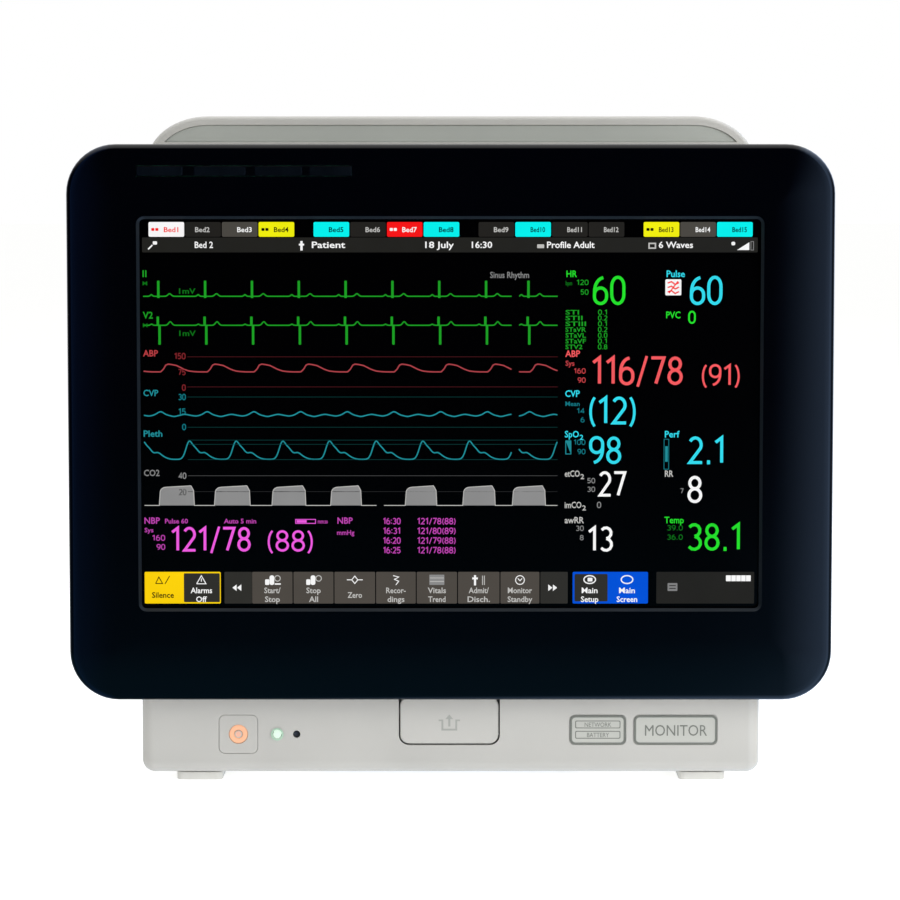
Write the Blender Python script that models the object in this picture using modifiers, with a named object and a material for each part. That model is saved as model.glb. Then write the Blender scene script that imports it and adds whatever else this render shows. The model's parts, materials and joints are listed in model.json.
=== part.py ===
"""Bedside patient monitor with a 12-inch screen, built as an assembly of its real pieces.

Lengths are in millimetres and are turned into metres where objects are made. A place is
(x, d, z): x to the viewer's right, d the depth behind the bezel's front face, z the height
above the surface the monitor stands on. World +Y points from the front to the back.
"""
import math

import bmesh
import bpy
from mathutils import Matrix, Vector

MM = 0.001

# Driving dimensions
TOTAL_DEPTH = 187.0
TOTAL_HEIGHT = 287.9
BEZEL_WIDTH = 327.0
BEZEL_HEIGHT = 237.5
BEZEL_BOTTOM = 37.3
BEZEL_DEPTH = 18.0
BEZEL_CORNER = 21.0
BEZEL_PLATE = 3.0
BODY_WIDTH = 266.0
BASE_WIDTH = 267.4
WALL = 2.5
GAP = 0.3

SCREEN_Z = 160.1
OPENING_WIDTH = 266.2
OPENING_HEIGHT = 168.5
SHELL_BACK = 36.0

CHIN_FRONT = 12.0
BASE_BACK = 183.0
BASE_BOTTOM = 3.8
BASE_TOP = BEZEL_BOTTOM - GAP
CONTROL_Z = 20.8

HOUSING_FRONT = SHELL_BACK + GAP
HOUSING_BOTTOM = BEZEL_BOTTOM + GAP
HOUSING_TOP = 226.0
SOCKET_BAY = {"x": (-122.0, 78.0), "z": (45.0, 86.0), "floor": 181.0}

HANDLE_FRONT = 58.0
HANDLE_BACK = 88.0
HANDLE_CORNER = 20.0
GRIP_LOW = 274.6

BATTERY = {"x": (-22.0, 127.0), "d": (78.0, 167.0), "z": (10.0, 30.0)}
BATTERY_HINGE = (131.5, 167.5)

RECORDER = {"x": (70.0, 132.7), "d": (60.3, 145.7), "z": (101.3, 196.7)}
RECORDER_WALL = 2.0
RECORDER_HINGE = (131.5, 106.0)
ROLL_CENTRE = (99.0, 134.0)
PLATEN_CENTRE = (121.0, 184.0)

FOOT_X = 109.0
SCREW_X = 114.0
SCREW_Z = (100.0, 208.0)

X, D, Z = 0, 1, 2


# ---------------------------------------------------------------- scene and materials

def empty_the_scene():
    for item in list(bpy.context.scene.objects):
        bpy.data.objects.remove(item, do_unlink=True)


def add_collection(name):
    collection = bpy.data.collections.new(name)
    bpy.context.scene.collection.children.link(collection)
    return collection


def add_material(name, colour, roughness, metallic=0.0, glow=0.0):
    material = bpy.data.materials.new(name)
    material.use_nodes = True
    shader = material.node_tree.nodes["Principled BSDF"]
    shader.inputs["Base Color"].default_value = (*colour, 1.0)
    shader.inputs["Roughness"].default_value = roughness
    shader.inputs["Metallic"].default_value = metallic
    if glow:
        shader.inputs["Emission Color"].default_value = (*colour, 1.0)
        shader.inputs["Emission Strength"].default_value = glow
    material.diffuse_color = (*colour, 1.0)
    return material


def add_materials():
    return {
        "black": add_material("gloss_black", (0.006, 0.010, 0.016), 0.18),
        "smoke": add_material("smoked_lens", (0.03, 0.04, 0.05), 0.15),
        "glass": add_material("touch_glass", (0.01, 0.01, 0.012), 0.08),
        "grey": add_material("housing_grey", (0.66, 0.66, 0.62), 0.45),
        "shade": add_material("grip_grey", (0.36, 0.38, 0.35), 0.6),
        "label": add_material("label_grey", (0.52, 0.53, 0.49), 0.5),
        "foot": add_material("foot_rubber", (0.5, 0.5, 0.48), 0.85),
        "seal": add_material("seal_rubber", (0.02, 0.02, 0.02), 0.9),
        "amber": add_material("amber_light", (1.0, 0.35, 0.12), 0.4, glow=1.0),
        "green": add_material("green_light", (0.3, 1.0, 0.45), 0.3, glow=1.0),
        "steel": add_material("zinc_steel", (0.62, 0.63, 0.64), 0.35, metallic=1.0),
        "aluminium": add_material("aluminium", (0.75, 0.76, 0.77), 0.4, metallic=1.0),
        "board": add_material("circuit_board", (0.02, 0.16, 0.08), 0.5),
        "dark": add_material("dark_plastic", (0.03, 0.03, 0.035), 0.5),
        "panel": add_material("connector_panel", (0.45, 0.47, 0.48), 0.5),
        "blue": add_material("blue_plastic", (0.03, 0.16, 0.5), 0.4),
        "red": add_material("red_plastic", (0.55, 0.03, 0.03), 0.4),
        "brown": add_material("brown_plastic", (0.22, 0.09, 0.04), 0.4),
        "ecg_green": add_material("green_plastic", (0.05, 0.33, 0.12), 0.4),
        "white": add_material("white_plastic", (0.75, 0.76, 0.76), 0.4),
        "paper": add_material("paper", (0.85, 0.84, 0.8), 0.9),
        "hose": add_material("hose_rubber", (0.08, 0.09, 0.1), 0.7),
        "battery": add_material("battery_case", (0.12, 0.13, 0.15), 0.5),
    }


# ---------------------------------------------------------------- modelling helpers

def place(x, d, z):
    """World position in metres of a place in millimetres."""
    return Vector((x, d - TOTAL_DEPTH / 2, z)) * MM


def middle(span):
    return (span[0] + span[1]) / 2


def around(centre, half):
    return (centre - half, centre + half)


def grown(span, by):
    return (span[0] - by, span[1] + by)


def add_object(name, mesh, location):
    item = bpy.data.objects.new(name, mesh)
    item.location = location
    PARTS.objects.link(item)
    return item


def mesh_from(bm, name):
    mesh = bpy.data.meshes.new(name)
    bm.to_mesh(mesh)
    bm.free()
    return mesh


def finish(item, material):
    item.data.materials.clear()
    item.data.materials.append(MATERIALS[material])
    return item


def shade_round(item, angle=35):
    item.data.shade_smooth()
    item.data.set_sharp_from_angle(angle=math.radians(angle))
    return item


def block(name, x, d, z):
    """A box between the two ends of each span."""
    bm = bmesh.new()
    size = Vector((x[1] - x[0], d[1] - d[0], z[1] - z[0])) * MM
    bmesh.ops.create_cube(bm, size=1.0, matrix=Matrix.Diagonal((*size, 1.0)))
    return add_object(name, mesh_from(bm, name), place(middle(x), middle(d), middle(z)))


def cylinder(name, centre, axis, radius, length, sides=24, end_radius=None):
    """A cylinder or cone about an axis through its centre."""
    turn = {X: Matrix.Rotation(math.radians(90), 4, "Y"),
            D: Matrix.Rotation(math.radians(-90), 4, "X"),
            Z: Matrix.Identity(4)}[axis]
    bm = bmesh.new()
    bmesh.ops.create_cone(bm, cap_ends=True, segments=sides, radius1=radius * MM,
                          radius2=(radius if end_radius is None else end_radius) * MM,
                          depth=length * MM, matrix=turn)
    return shade_round(add_object(name, mesh_from(bm, name), place(*centre)))


def runs_along(axis):
    def chosen(edge):
        run = edge.verts[1].co - edge.verts[0].co
        return abs(abs(run[axis]) - run.length) < 1e-7
    return chosen


def on_side(item, axis, sign):
    limit = max(sign * vert.co[axis] for vert in item.data.vertices)

    def chosen(edge):
        return all(sign * vert.co[axis] > limit - 1e-6 for vert in edge.verts)
    return chosen


def round_edges(item, radius, segments, chosen):
    bm = bmesh.new()
    bm.from_mesh(item.data)
    edges = [edge for edge in bm.edges if chosen(edge)]
    bmesh.ops.bevel(bm, geom=edges, offset=radius * MM, segments=segments, profile=0.5,
                    affect="EDGES", clamp_overlap=True)
    bm.to_mesh(item.data)
    bm.free()
    return item


def tile(name, x, d, z, corner, segments=3, axis=D):
    """A box whose four edges along one axis are rounded."""
    item = block(name, x, d, z)
    return round_edges(item, corner, segments, runs_along(axis))


def soften(item, width, segments=2):
    bevel = item.modifiers.new("soft_edges", "BEVEL")
    bevel.width = width * MM
    bevel.segments = segments
    bevel.limit_method = "ANGLE"
    bevel.angle_limit = math.radians(40)
    return item


def hide_tool(tool, owner):
    PARTS.objects.unlink(tool)
    CUTTERS.objects.link(tool)
    tool.hide_render = True
    tool.display_type = "WIRE"
    tool.parent = owner
    tool.location -= owner.location


def combine(item, operation, tools):
    for tool in tools:
        boolean = item.modifiers.new(tool.name, "BOOLEAN")
        boolean.operation = operation
        boolean.solver = "EXACT"
        boolean.object = tool
        hide_tool(tool, item)
    return item


def cut(item, *tools):
    return combine(item, "DIFFERENCE", tools)


def join(item, *tools):
    return combine(item, "UNION", tools)


def row_of_blocks(name, x, d, z, step, count):
    """One cutter holding equal boxes that repeat along a step."""
    bm = bmesh.new()
    size = Vector((x[1] - x[0], d[1] - d[0], z[1] - z[0])) * MM
    for index in range(count):
        shift = Matrix.Translation(Vector(step) * index * MM)
        bmesh.ops.create_cube(bm, size=1.0, matrix=shift @ Matrix.Diagonal((*size, 1.0)))
    return add_object(name, mesh_from(bm, name), place(middle(x), middle(d), middle(z)))


def prism(name, outline, axis, span, to_place):
    """A flat outline, given as pairs, extruded along one axis over a span."""
    curve = bpy.data.curves.new(name, "CURVE")
    curve.dimensions = "2D"
    curve.fill_mode = "BOTH"
    curve.extrude = (span[1] - span[0]) / 2 * MM
    spline = curve.splines.new("POLY")
    spline.points.add(len(outline) - 1)
    for point, (u, v) in zip(spline.points, outline):
        point.co = (u * MM, v * MM, 0.0, 1.0)
    spline.use_cyclic_u = True
    flat = add_object(name + "_outline", curve, (0, 0, 0))
    bpy.context.view_layer.update()
    graph = bpy.context.evaluated_depsgraph_get()
    mesh = bpy.data.meshes.new_from_object(flat.evaluated_get(graph))
    bpy.data.objects.remove(flat)
    mesh.name = name
    stand = {D: Matrix.Rotation(math.radians(90), 4, "X"),
             X: Matrix.Rotation(math.radians(90), 4, "Z") @ Matrix.Rotation(math.radians(90), 4, "X")}
    mesh.transform(stand[axis])
    bm = bmesh.new()
    bm.from_mesh(mesh)
    bmesh.ops.remove_doubles(bm, verts=bm.verts, dist=1e-6)
    bmesh.ops.recalc_face_normals(bm, faces=bm.faces)
    bm.to_mesh(mesh)
    bm.free()
    return add_object(name, mesh, to_place(middle(span)))


def front_prism(name, outline, d):
    """An outline of (x, z) pairs extruded through a depth span."""
    return prism(name, outline, D, d, lambda centre: place(0, centre, 0))


def side_prism(name, outline, x):
    """An outline of (d, z) pairs extruded through a width span."""
    return prism(name, outline, X, x, lambda centre: place(centre, 0, 0))


def tube(name, points, radius, resolution=2):
    """A round tube along a list of places."""
    curve = bpy.data.curves.new(name, "CURVE")
    curve.dimensions = "3D"
    curve.bevel_depth = radius * MM
    curve.bevel_resolution = resolution
    curve.use_fill_caps = True
    spline = curve.splines.new("POLY")
    spline.points.add(len(points) - 1)
    for point, where in zip(spline.points, points):
        point.co = (*place(*where), 1.0)
    return add_object(name, curve, (0, 0, 0))


def smooth_route(stops, per_leg=5):
    """Points along a Catmull-Rom curve through the stops."""
    ends = [2 * Vector(stops[0]) - Vector(stops[1]), *map(Vector, stops),
            2 * Vector(stops[-1]) - Vector(stops[-2])]
    route = []
    for a, b, c, e in zip(ends, ends[1:], ends[2:], ends[3:]):
        for step in range(per_leg):
            t = step / per_leg
            route.append(0.5 * (2 * b + (c - a) * t + (2 * a - 5 * b + 4 * c - e) * t ** 2
                                + (3 * b - a - 3 * c + e) * t ** 3))
    return route + [Vector(stops[-1])]


def pivot(name, x, d, z):
    """An empty on a joint's axis."""
    empty = bpy.data.objects.new(name, None)
    empty.location = place(x, d, z)
    PARTS.objects.link(empty)
    return empty


def hang(parent, *items):
    for item in items:
        item.parent = parent
        item.location -= parent.location


# ---------------------------------------------------------------- display unit

def bezel_spans(inset=0.0):
    half = BEZEL_WIDTH / 2 - inset
    return (-half, half), (BEZEL_BOTTOM + inset, BEZEL_BOTTOM + BEZEL_HEIGHT - inset)


def screen_spans(width, height):
    return around(0, width / 2), around(SCREEN_Z, height / 2)


LENS_X = (-133.0, -42.0)
LENS_Z = (261.4, 265.5)


def make_front_bezel():
    x, z = bezel_spans()
    bezel = tile("front_bezel", x, (0, BEZEL_DEPTH), z, BEZEL_CORNER, segments=5)
    round_edges(bezel, 5.0, 3, on_side(bezel, D, -1))
    shade_round(bezel)
    x, z = bezel_spans(inset=3.0)
    hollow = tile("bezel_hollow", x, (BEZEL_PLATE, BEZEL_DEPTH + 1), z, BEZEL_CORNER - 3, segments=5)
    x, z = screen_spans(OPENING_WIDTH, OPENING_HEIGHT)
    window = tile("bezel_window", x, (-1, BEZEL_PLATE + 1), z, 2.0, segments=2)
    slot = block("lamp_slot", grown(LENS_X, GAP), (-1, BEZEL_PLATE + 1), grown(LENS_Z, GAP))
    cut(bezel, hollow, window, slot)
    bosses = [cylinder(f"bezel_boss_{side}_{level}", (side * 147, 7.4, SCREEN_Z + level * 88), D, 4, 9.2, 12)
              for side in (-1, 1) for level in (-1, 1)]
    join(bezel, *bosses)
    finish(bezel, "black")


def make_screen_stack():
    x, z = screen_spans(OPENING_WIDTH + 8, OPENING_HEIGHT + 6)
    gasket = block("bezel_gasket", x, (BEZEL_PLATE + GAP, BEZEL_PLATE + 1.0), z)
    inner_x, inner_z = screen_spans(OPENING_WIDTH + 1.6, OPENING_HEIGHT + 1.6)
    cut(gasket, block("gasket_hole", inner_x, (0, 8), inner_z))
    finish(gasket, "seal")
    finish(block("touch_glass", x, (4.3, 6.1), z), "glass")

    x, z = screen_spans(277, 178)
    finish(block("lcd_panel", x, (6.4, 12.0), z), "dark")

    x, z = screen_spans(304, 188)
    bracket = tile("lcd_bracket", x, (12.3, 13.5), z, 6.0, segments=2)
    x, z = screen_spans(240, 140)
    cut(bracket, block("bracket_hole", x, (10, 16), z))
    finish(bracket, "steel")


def make_alarm_lamps():
    lens = block("alarm_lamp_lens", LENS_X, (0.3, 4.0), LENS_Z)
    join(lens, block("lens_flange", grown(LENS_X, 2), (BEZEL_PLATE + GAP, 5.0), grown(LENS_Z, 2)))
    finish(lens, "smoke")
    board = block("alarm_lamp_board", grown(LENS_X, 3), (8.0, 9.6), (256, 268))
    lamps = row_of_blocks("lamps", (-127, -117), (6.0, 8.4), (261.0, 266.0), (24.5, 0, 0), 4)
    join(board, lamps)
    finish(board, "board")


def tapered_tile(name, front_size, back_size, d, corner):
    """A rounded box whose back face is smaller than its front face."""
    centre = BEZEL_BOTTOM + BEZEL_HEIGHT / 2
    x, z = around(0, front_size[0] / 2), around(centre, front_size[1] / 2)
    item = tile(name, x, d, z, corner, segments=5)
    for vert in item.data.vertices:
        if vert.co.y > 0:
            vert.co.x *= back_size[0] / front_size[0]
            vert.co.z *= back_size[1] / front_size[1]
    return item


def make_display_rear_shell():
    shell = tapered_tile("display_rear_shell", (323, 233.5), (300, 215.5), (BEZEL_DEPTH + GAP, SHELL_BACK), 19)
    shade_round(shell, 30)
    hollow = tapered_tile("shell_hollow", (319, 229.5), (295, 210.5), (BEZEL_DEPTH - 1, SHELL_BACK - WALL), 17)
    window = block("shell_window", (-118, 118), (30, 40), (60, 215))
    cut(shell, hollow, window)
    finish(shell, "grey")


# ---------------------------------------------------------------- casing

def bay_span(by=0.0):
    return grown(SOCKET_BAY["x"], by), (SOCKET_BAY["floor"] - by, TOTAL_DEPTH + 5), grown(SOCKET_BAY["z"], by)


SOCKETS = {  # name: centre x, centre z, half width, half height of the hole in the bay's floor
    "ac_inlet": (-95.0, 64.0, 13.8, 10.3),
    "lan_socket": (-40.0, 62.0, 8.3, 7.3),
    "usb_socket": (-14.0, 62.0, 7.3, 8.3),
    "video_socket": (30.0, 62.0, 18.3, 6.3),
}
EARTH_X, EARTH_Z = -66.0, 64.0
SPEAKER = (101.0, 64.0)


def make_rear_housing():
    half = BODY_WIDTH / 2
    housing = block("rear_housing", (-half, half), (HOUSING_FRONT, TOTAL_DEPTH), (HOUSING_BOTTOM, HOUSING_TOP))
    front, under = on_side(housing, D, -1), on_side(housing, Z, -1)
    round_edges(housing, 12.0, 3, lambda edge: not front(edge) and not under(edge))
    shade_round(housing)

    hollow = block("housing_hollow", around(0, half - WALL), (HOUSING_FRONT - 2, TOTAL_DEPTH - WALL),
                   (HOUSING_BOTTOM - 2, HOUSING_TOP - WALL))
    front, under = on_side(hollow, D, -1), on_side(hollow, Z, -1)
    round_edges(hollow, 12.0 - WALL, 3, lambda edge: not front(edge) and not under(edge))
    cut(hollow, block("bay_walls", *bay_span(by=WALL)))
    cut(housing, block("socket_bay", *bay_span()), hollow)

    bosses = [cylinder(f"screw_boss_{side}_{z:.0f}", (side * SCREW_X, 174.5, z), D, 5.5, 22, 12)
              for side in (-1, 1) for z in SCREW_Z]
    join(housing, *bosses)

    openings = [
        block("side_bay", (-half - 2, -half + 6), (60, 140), (62, 208)),
        block("recorder_hole", (half - 6, half + 2), grown(RECORDER["d"], GAP), grown(RECORDER["z"], GAP)),
        row_of_blocks("rear_vents", (-94.5, -91.5), (180, 190), (118, 172), (11, 0, 0), 18),
        row_of_blocks("top_vents", (-94.5, -91.5), (112, 160), (220, 230), (11, 0, 0), 18),
        row_of_blocks("speaker_grille", around(SPEAKER[0], 13), (180, 190), (50, 52.4), (0, 0, 5.2), 6),
    ]
    floor = (SOCKET_BAY["floor"] - 6, SOCKET_BAY["floor"] + 2)
    for name, (x, z, half_x, half_z) in SOCKETS.items():
        openings.append(block(name + "_hole", around(x, half_x), floor, around(z, half_z)))
    openings.append(cylinder("earth_hole", (EARTH_X, middle(floor), EARTH_Z), D, 4.3, 8, 16))
    for side in (-1, 1):
        for z in SCREW_Z:
            openings.append(cylinder(f"screw_way_{side}_{z:.0f}", (side * SCREW_X, 175, z), D, 2.3, 40, 12))
            openings.append(cylinder(f"head_way_{side}_{z:.0f}", (side * SCREW_X, 187, z), D, 4.4, 10, 16))
    cut(housing, *openings)
    finish(housing, "grey")


def make_rear_screws():
    number = 0
    for side in (-1, 1):
        for z in SCREW_Z:
            number += 1
            screw = cylinder(f"rear_screw_{number}", (side * SCREW_X, 184.0, z), D, 4.0, 3.2, 16)
            shaft = cylinder(f"screw_shaft_{number}", (side * SCREW_X, 174.5, z), D, 2.0, 17.8, 12)
            drive = block(f"screw_drive_{number}", around(side * SCREW_X, 2.2), (184.4, 187), around(z, 0.5))
            cut(join(screw, shaft), drive)
            finish(screw, "steel")


def handle_outline(inset=0.0):
    """The handle's outline from the front, as (x, z) pairs: round shoulders and a flat top."""
    half, top = BASE_WIDTH / 2 - inset, TOTAL_HEIGHT - inset
    radius = HANDLE_CORNER - inset
    shoulder = [(half, HOUSING_TOP + GAP + inset)]
    for step in range(7):
        angle = math.radians(step * 15)
        shoulder.append((half - radius + radius * math.cos(angle), top - radius + radius * math.sin(angle)))
    left = [(-x, z) for x, z in reversed(shoulder)]
    return shoulder + left


def make_carry_handle():
    handle = front_prism("carry_handle", handle_outline(), (HANDLE_FRONT, HANDLE_BACK))
    soften(handle, 5.0, 3)
    gap = tile("hand_gap", (-101, 101), (HANDLE_FRONT - 5, HANDLE_BACK + 5), (232.5, 262), 8.0, segments=3)
    recess = front_prism("grip_recess", grip_outline(0.0), (HANDLE_FRONT - 2, HANDLE_FRONT + 2.4))
    cut(handle, gap, recess)
    finish(handle, "grey")
    insert = front_prism("handle_grip_insert", grip_outline(GAP), (HANDLE_FRONT + 1.0, HANDLE_FRONT + 2.1))
    finish(insert, "shade")


def grip_outline(inset):
    """The recess on the handle's front face, under the light rim along its top."""
    rim = 3.9 + inset
    radius = HANDLE_CORNER - rim
    centre = Vector((BASE_WIDTH / 2 - HANDLE_CORNER, TOTAL_HEIGHT - HANDLE_CORNER))
    start = math.degrees(math.asin((GRIP_LOW + inset - centre.y) / radius))
    side = []
    for step in range(5):
        angle = math.radians(start + (90 - start) * step / 4)
        side.append((centre.x + radius * math.cos(angle), centre.y + radius * math.sin(angle)))
    return side + [(-x, z) for x, z in reversed(side)]


# ---------------------------------------------------------------- base

POWER_X, LAMP_X, SENSOR_X = -91.8, -75.0, -66.6
LABELS = {"label_plate_left": ((51.6, 75.6), (16.4, 29.0)), "label_plate_right": ((79.3, 115.1), (16.4, 29.0))}
RELEASE = {"x": (-21.5, 20.3), "z": (17.0, 36.6)}
MOUNT_PLATE = {"x": (-60.0, 60.0), "d": (34.0, 124.0), "z": (6.6, 8.6)}
LATCH_D = (61.0, 67.0)


def make_base_tray():
    half = BASE_WIDTH / 2
    tray = block("base_tray", (-half, half), (CHIN_FRONT, BASE_BACK), (BASE_BOTTOM, BASE_TOP))
    top = on_side(tray, Z, 1)
    round_edges(tray, 5.4, 3, lambda edge: not top(edge))
    shade_round(tray)
    inner = block("tray_hollow", around(0, half - WALL), (CHIN_FRONT + WALL, BASE_BACK - WALL),
                  (BASE_BOTTOM + WALL, BASE_TOP + 2))
    top = on_side(inner, Z, 1)
    round_edges(inner, 2.9, 2, lambda edge: not top(edge))

    wall = (CHIN_FRONT - 2, CHIN_FRONT + WALL + 2)
    face = (CHIN_FRONT - 2, CHIN_FRONT + 0.5)
    openings = [
        inner,
        tile("release_notch", grown(RELEASE["x"], 0.7), wall, (RELEASE["z"][0] - 0.7, BASE_TOP + 9), 4.0),
        tile("power_hole", around(POWER_X, 8.5), wall, around(CONTROL_Z, 8.5), 2.6),
        cylinder("lamp_hole", (LAMP_X, middle(wall), CONTROL_Z), D, 2.05, 6, 16),
        cylinder("sensor_hole", (SENSOR_X, middle(wall), CONTROL_Z), D, 1.65, 6, 16),
        block("mount_hole", (-55, 55), (38, 120), (BASE_BOTTOM - 2, BASE_BOTTOM + WALL + 1)),
        block("battery_hole", (half - 6, half + 2), (74.0, 170.5), (8.5, 34.0)),
    ]
    for name, (x, z) in LABELS.items():
        openings.append(tile(name + "_pocket", grown(x, GAP), face, grown(z, GAP), 2.4))
    cut(tray, *openings)
    finish(tray, "grey")

    for name, (x, z) in LABELS.items():
        finish(tile(name, x, (CHIN_FRONT - 0.3, CHIN_FRONT + 0.2), z, 2.2), "label")


def make_lamps_and_sensor():
    lamp = cylinder("battery_lamp_lens", (LAMP_X, CHIN_FRONT + 1.6, CONTROL_Z), D, 1.75, 4.0, 16)
    finish(lamp, "green")
    sensor = cylinder("light_sensor_lens", (SENSOR_X, CHIN_FRONT + 2.2, CONTROL_Z), D, 1.35, 3.0, 16)
    finish(sensor, "dark")


def make_power_button():
    press = pivot("power_button_press", POWER_X, CHIN_FRONT, CONTROL_Z)
    button = tile("power_button", around(POWER_X, 8.2), (CHIN_FRONT, CHIN_FRONT + 3), around(CONTROL_Z, 8.2), 2.4)
    stem = cylinder("power_stem", (POWER_X, CHIN_FRONT + 5, CONTROL_Z), D, 2.0, 5, 12)
    groove = cylinder("power_groove", (POWER_X, CHIN_FRONT, CONTROL_Z), D, 4.2, 3, 24)
    island = cylinder("groove_island", (POWER_X, CHIN_FRONT, CONTROL_Z), D, 1.6, 9, 16)
    cut(groove, island)
    cut(join(button, stem), groove)
    finish(button, "grey")
    ring = cylinder("power_ring", (POWER_X, CHIN_FRONT + 0.6, CONTROL_Z), D, 3.9, 1.2, 24)
    cut(ring, cylinder("ring_hole", (POWER_X, CHIN_FRONT, CONTROL_Z), D, 1.9, 9, 16))
    finish(ring, "amber")
    hang(press, button, ring)

    board = block("power_switch_board", (-104, -60), (22, 23.6), (9, 31))
    switch = block("tact_switch", around(POWER_X, 3), (20.7, 22.4), around(CONTROL_Z, 3))
    finish(join(board, switch), "board")


def make_release():
    press = pivot("release_button_press", 0, CHIN_FRONT, middle(RELEASE["z"]))
    button = tile("release_button", RELEASE["x"], (CHIN_FRONT, CHIN_FRONT + WALL), RELEASE["z"], 3.6)
    front = CHIN_FRONT + WALL - 0.5
    latch_front = LATCH_D[0]
    ramp = [(front, 17.1), (latch_front, 17.1), (latch_front, 18), (latch_front - 7, 25), (40, 25), (35, 20), (front, 20)]
    join(button, side_prism("release_ramp", ramp, (-5, 5)))
    finish(button, "grey")
    hang(press, button)

    lift = pivot("release_latch_lift", 0, middle(LATCH_D), 14)
    latch = block("release_latch", (-9, 9), LATCH_D, (5, 23))
    cut(latch, block("latch_window", (-5.6, 5.6), grown(LATCH_D, 2), (12.5, 18.6)))
    finish(latch, "steel")
    hang(lift, latch)

    turns, steps = 5, 12
    low, high = 23.7, 37.5
    points = []
    for step in range(turns * steps + 1):
        angle = 2 * math.pi * step / steps
        rise = low + (high - low) * step / (turns * steps)
        points.append((3.4 * math.cos(angle), middle(LATCH_D) + 3.4 * math.sin(angle), rise))
    spring = tube("latch_spring", points, 0.4, resolution=1)
    finish(spring, "steel")


def make_mount_plate():
    plate = tile("mount_plate", MOUNT_PLATE["x"], MOUNT_PLATE["d"], MOUNT_PLATE["z"], 4.0, axis=Z)
    depth = grown(MOUNT_PLATE["z"], 2)
    slots = [block(f"mount_slot_{side}_{d:.0f}", around(side * 40, 4), around(d, 10), depth)
             for side in (-1, 1) for d in (58, 100)]
    cut(plate, block("latch_way", (-10, 10), grown(LATCH_D, 1), depth), *slots)
    finish(plate, "steel")


def make_feet():
    for end, d in (("front", (17, 41)), ("rear", (150, 174))):
        for side, sign in (("left", -1), ("right", 1)):
            foot = tile(f"foot_{end}_{side}", around(sign * FOOT_X, 10), d, (0, BASE_BOTTOM - GAP), 3.0, axis=Z)
            finish(soften(foot, 0.6, 1), "foot")


# ---------------------------------------------------------------- battery

def make_battery():
    pack = block("battery_pack", BATTERY["x"], BATTERY["d"], BATTERY["z"])
    cut(pack, row_of_blocks("battery_pads", (-24, -20), (90, 96), (14, 20), (0, 16, 0), 5))
    finish(soften(pack, 1.5, 1), "battery")

    x, d = BATTERY_HINGE
    swing = pivot("battery_door_swing", x, d, 21)
    door = block("battery_door", (129.8, 132.8), (74.6, 169.5), (9.0, 33.5))
    cut(door, tile("catch_pocket", (131.0, 135), (77.4, 92.6), (14.6, 27.4), 2.0, axis=X))
    finish(door, "grey")
    catch = tile("battery_door_catch", (131.3, 133.3), (78.0, 88.0), (15.0, 27.0), 1.6, axis=X)
    ridges = row_of_blocks("catch_ridges", (132.7, 134), (80, 80.8), (16.5, 25.5), (0, 2, 0), 4)
    finish(cut(catch, ridges), "shade")
    hang(swing, door, catch)


# ---------------------------------------------------------------- recorder

def make_recorder():
    x, d, z = RECORDER["x"], RECORDER["d"], RECORDER["z"]
    frame = block("recorder_frame", x, d, z)
    bay = block("recorder_bay", (x[0] + RECORDER_WALL, x[1] + 3), grown(d, -RECORDER_WALL), grown(z, -RECORDER_WALL))
    cut(frame, bay)
    roll_x, roll_z = ROLL_CENTRE
    pegs = [cylinder(f"roll_peg_{place_d:.0f}", (roll_x, place_d, roll_z), D, 4.8, 17, 16) for place_d in (69.5, 136.5)]
    join(frame, *pegs)
    finish(frame, "dark")

    roll = cylinder("paper_roll", (roll_x, middle(d), roll_z), D, 23.0, 58, 32)
    cut(roll, cylinder("roll_core", (roll_x, middle(d), roll_z), D, 5.8, 62, 24))
    finish(roll, "paper")

    head = block("print_head", (107, 115), (73, 133), (176, 190))
    join(head, block("head_arm", (72.4, 108), (80, 126), (187, 189)))
    finish(head, "aluminium")

    hinge_x, hinge_z = RECORDER_HINGE
    swing = pivot("recorder_door_swing", hinge_x, middle(d), hinge_z)
    door = block("recorder_door", (127.8, 132.7), grown(d, -RECORDER_WALL - 0.6), (104.8, 193.4))
    platen_x, platen_z = PLATEN_CENTRE
    for number, ear_d in enumerate(((69.0, 72.0), (134.0, 137.0))):
        join(door, block(f"platen_ear_{number}", (115.5, 129), ear_d, around(platen_z, 6)))
    shaft_way = cylinder("platen_way", (platen_x, middle(d), platen_z), D, 2.4, 90, 16)
    notch = block("latch_notch", (129.8, 135), (94.7, 111.3), (174, 196))
    cut(door, shaft_way, notch)
    finish(door, "grey")

    platen = cylinder("platen_roller", (platen_x, middle(d), platen_z), D, 5.0, 58, 24)
    join(platen, cylinder("platen_shaft", (platen_x, middle(d), platen_z), D, 2.0, 67.4, 16))
    finish(platen, "seal")

    latch = block("recorder_latch", (130.1, 132.9), (95.3, 110.7), (177.5, 194.0))
    cut(latch, row_of_blocks("latch_ridges", (132.3, 134), (97, 109), (179.5, 180.4), (0, 0, 2.4), 4))
    finish(latch, "shade")
    hang(swing, door, platen, latch)


# ---------------------------------------------------------------- connectors

PORTS = {  # name: height, barrel radius, bore radius, material
    "ecg_connector": (190.0, 11.0, 8.0, "ecg_green"),
    "spo2_connector": (162.0, 10.0, 7.0, "blue"),
    "nbp_connector": (134.0, 9.0, 5.0, "red"),
    "pressure_connector": (107.0, 10.0, 7.0, "white"),
    "temp_connector": (80.0, 8.0, 4.5, "brown"),
}
PORT_D = 100.0
PANEL_X = (-130.2, -127.2)


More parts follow.
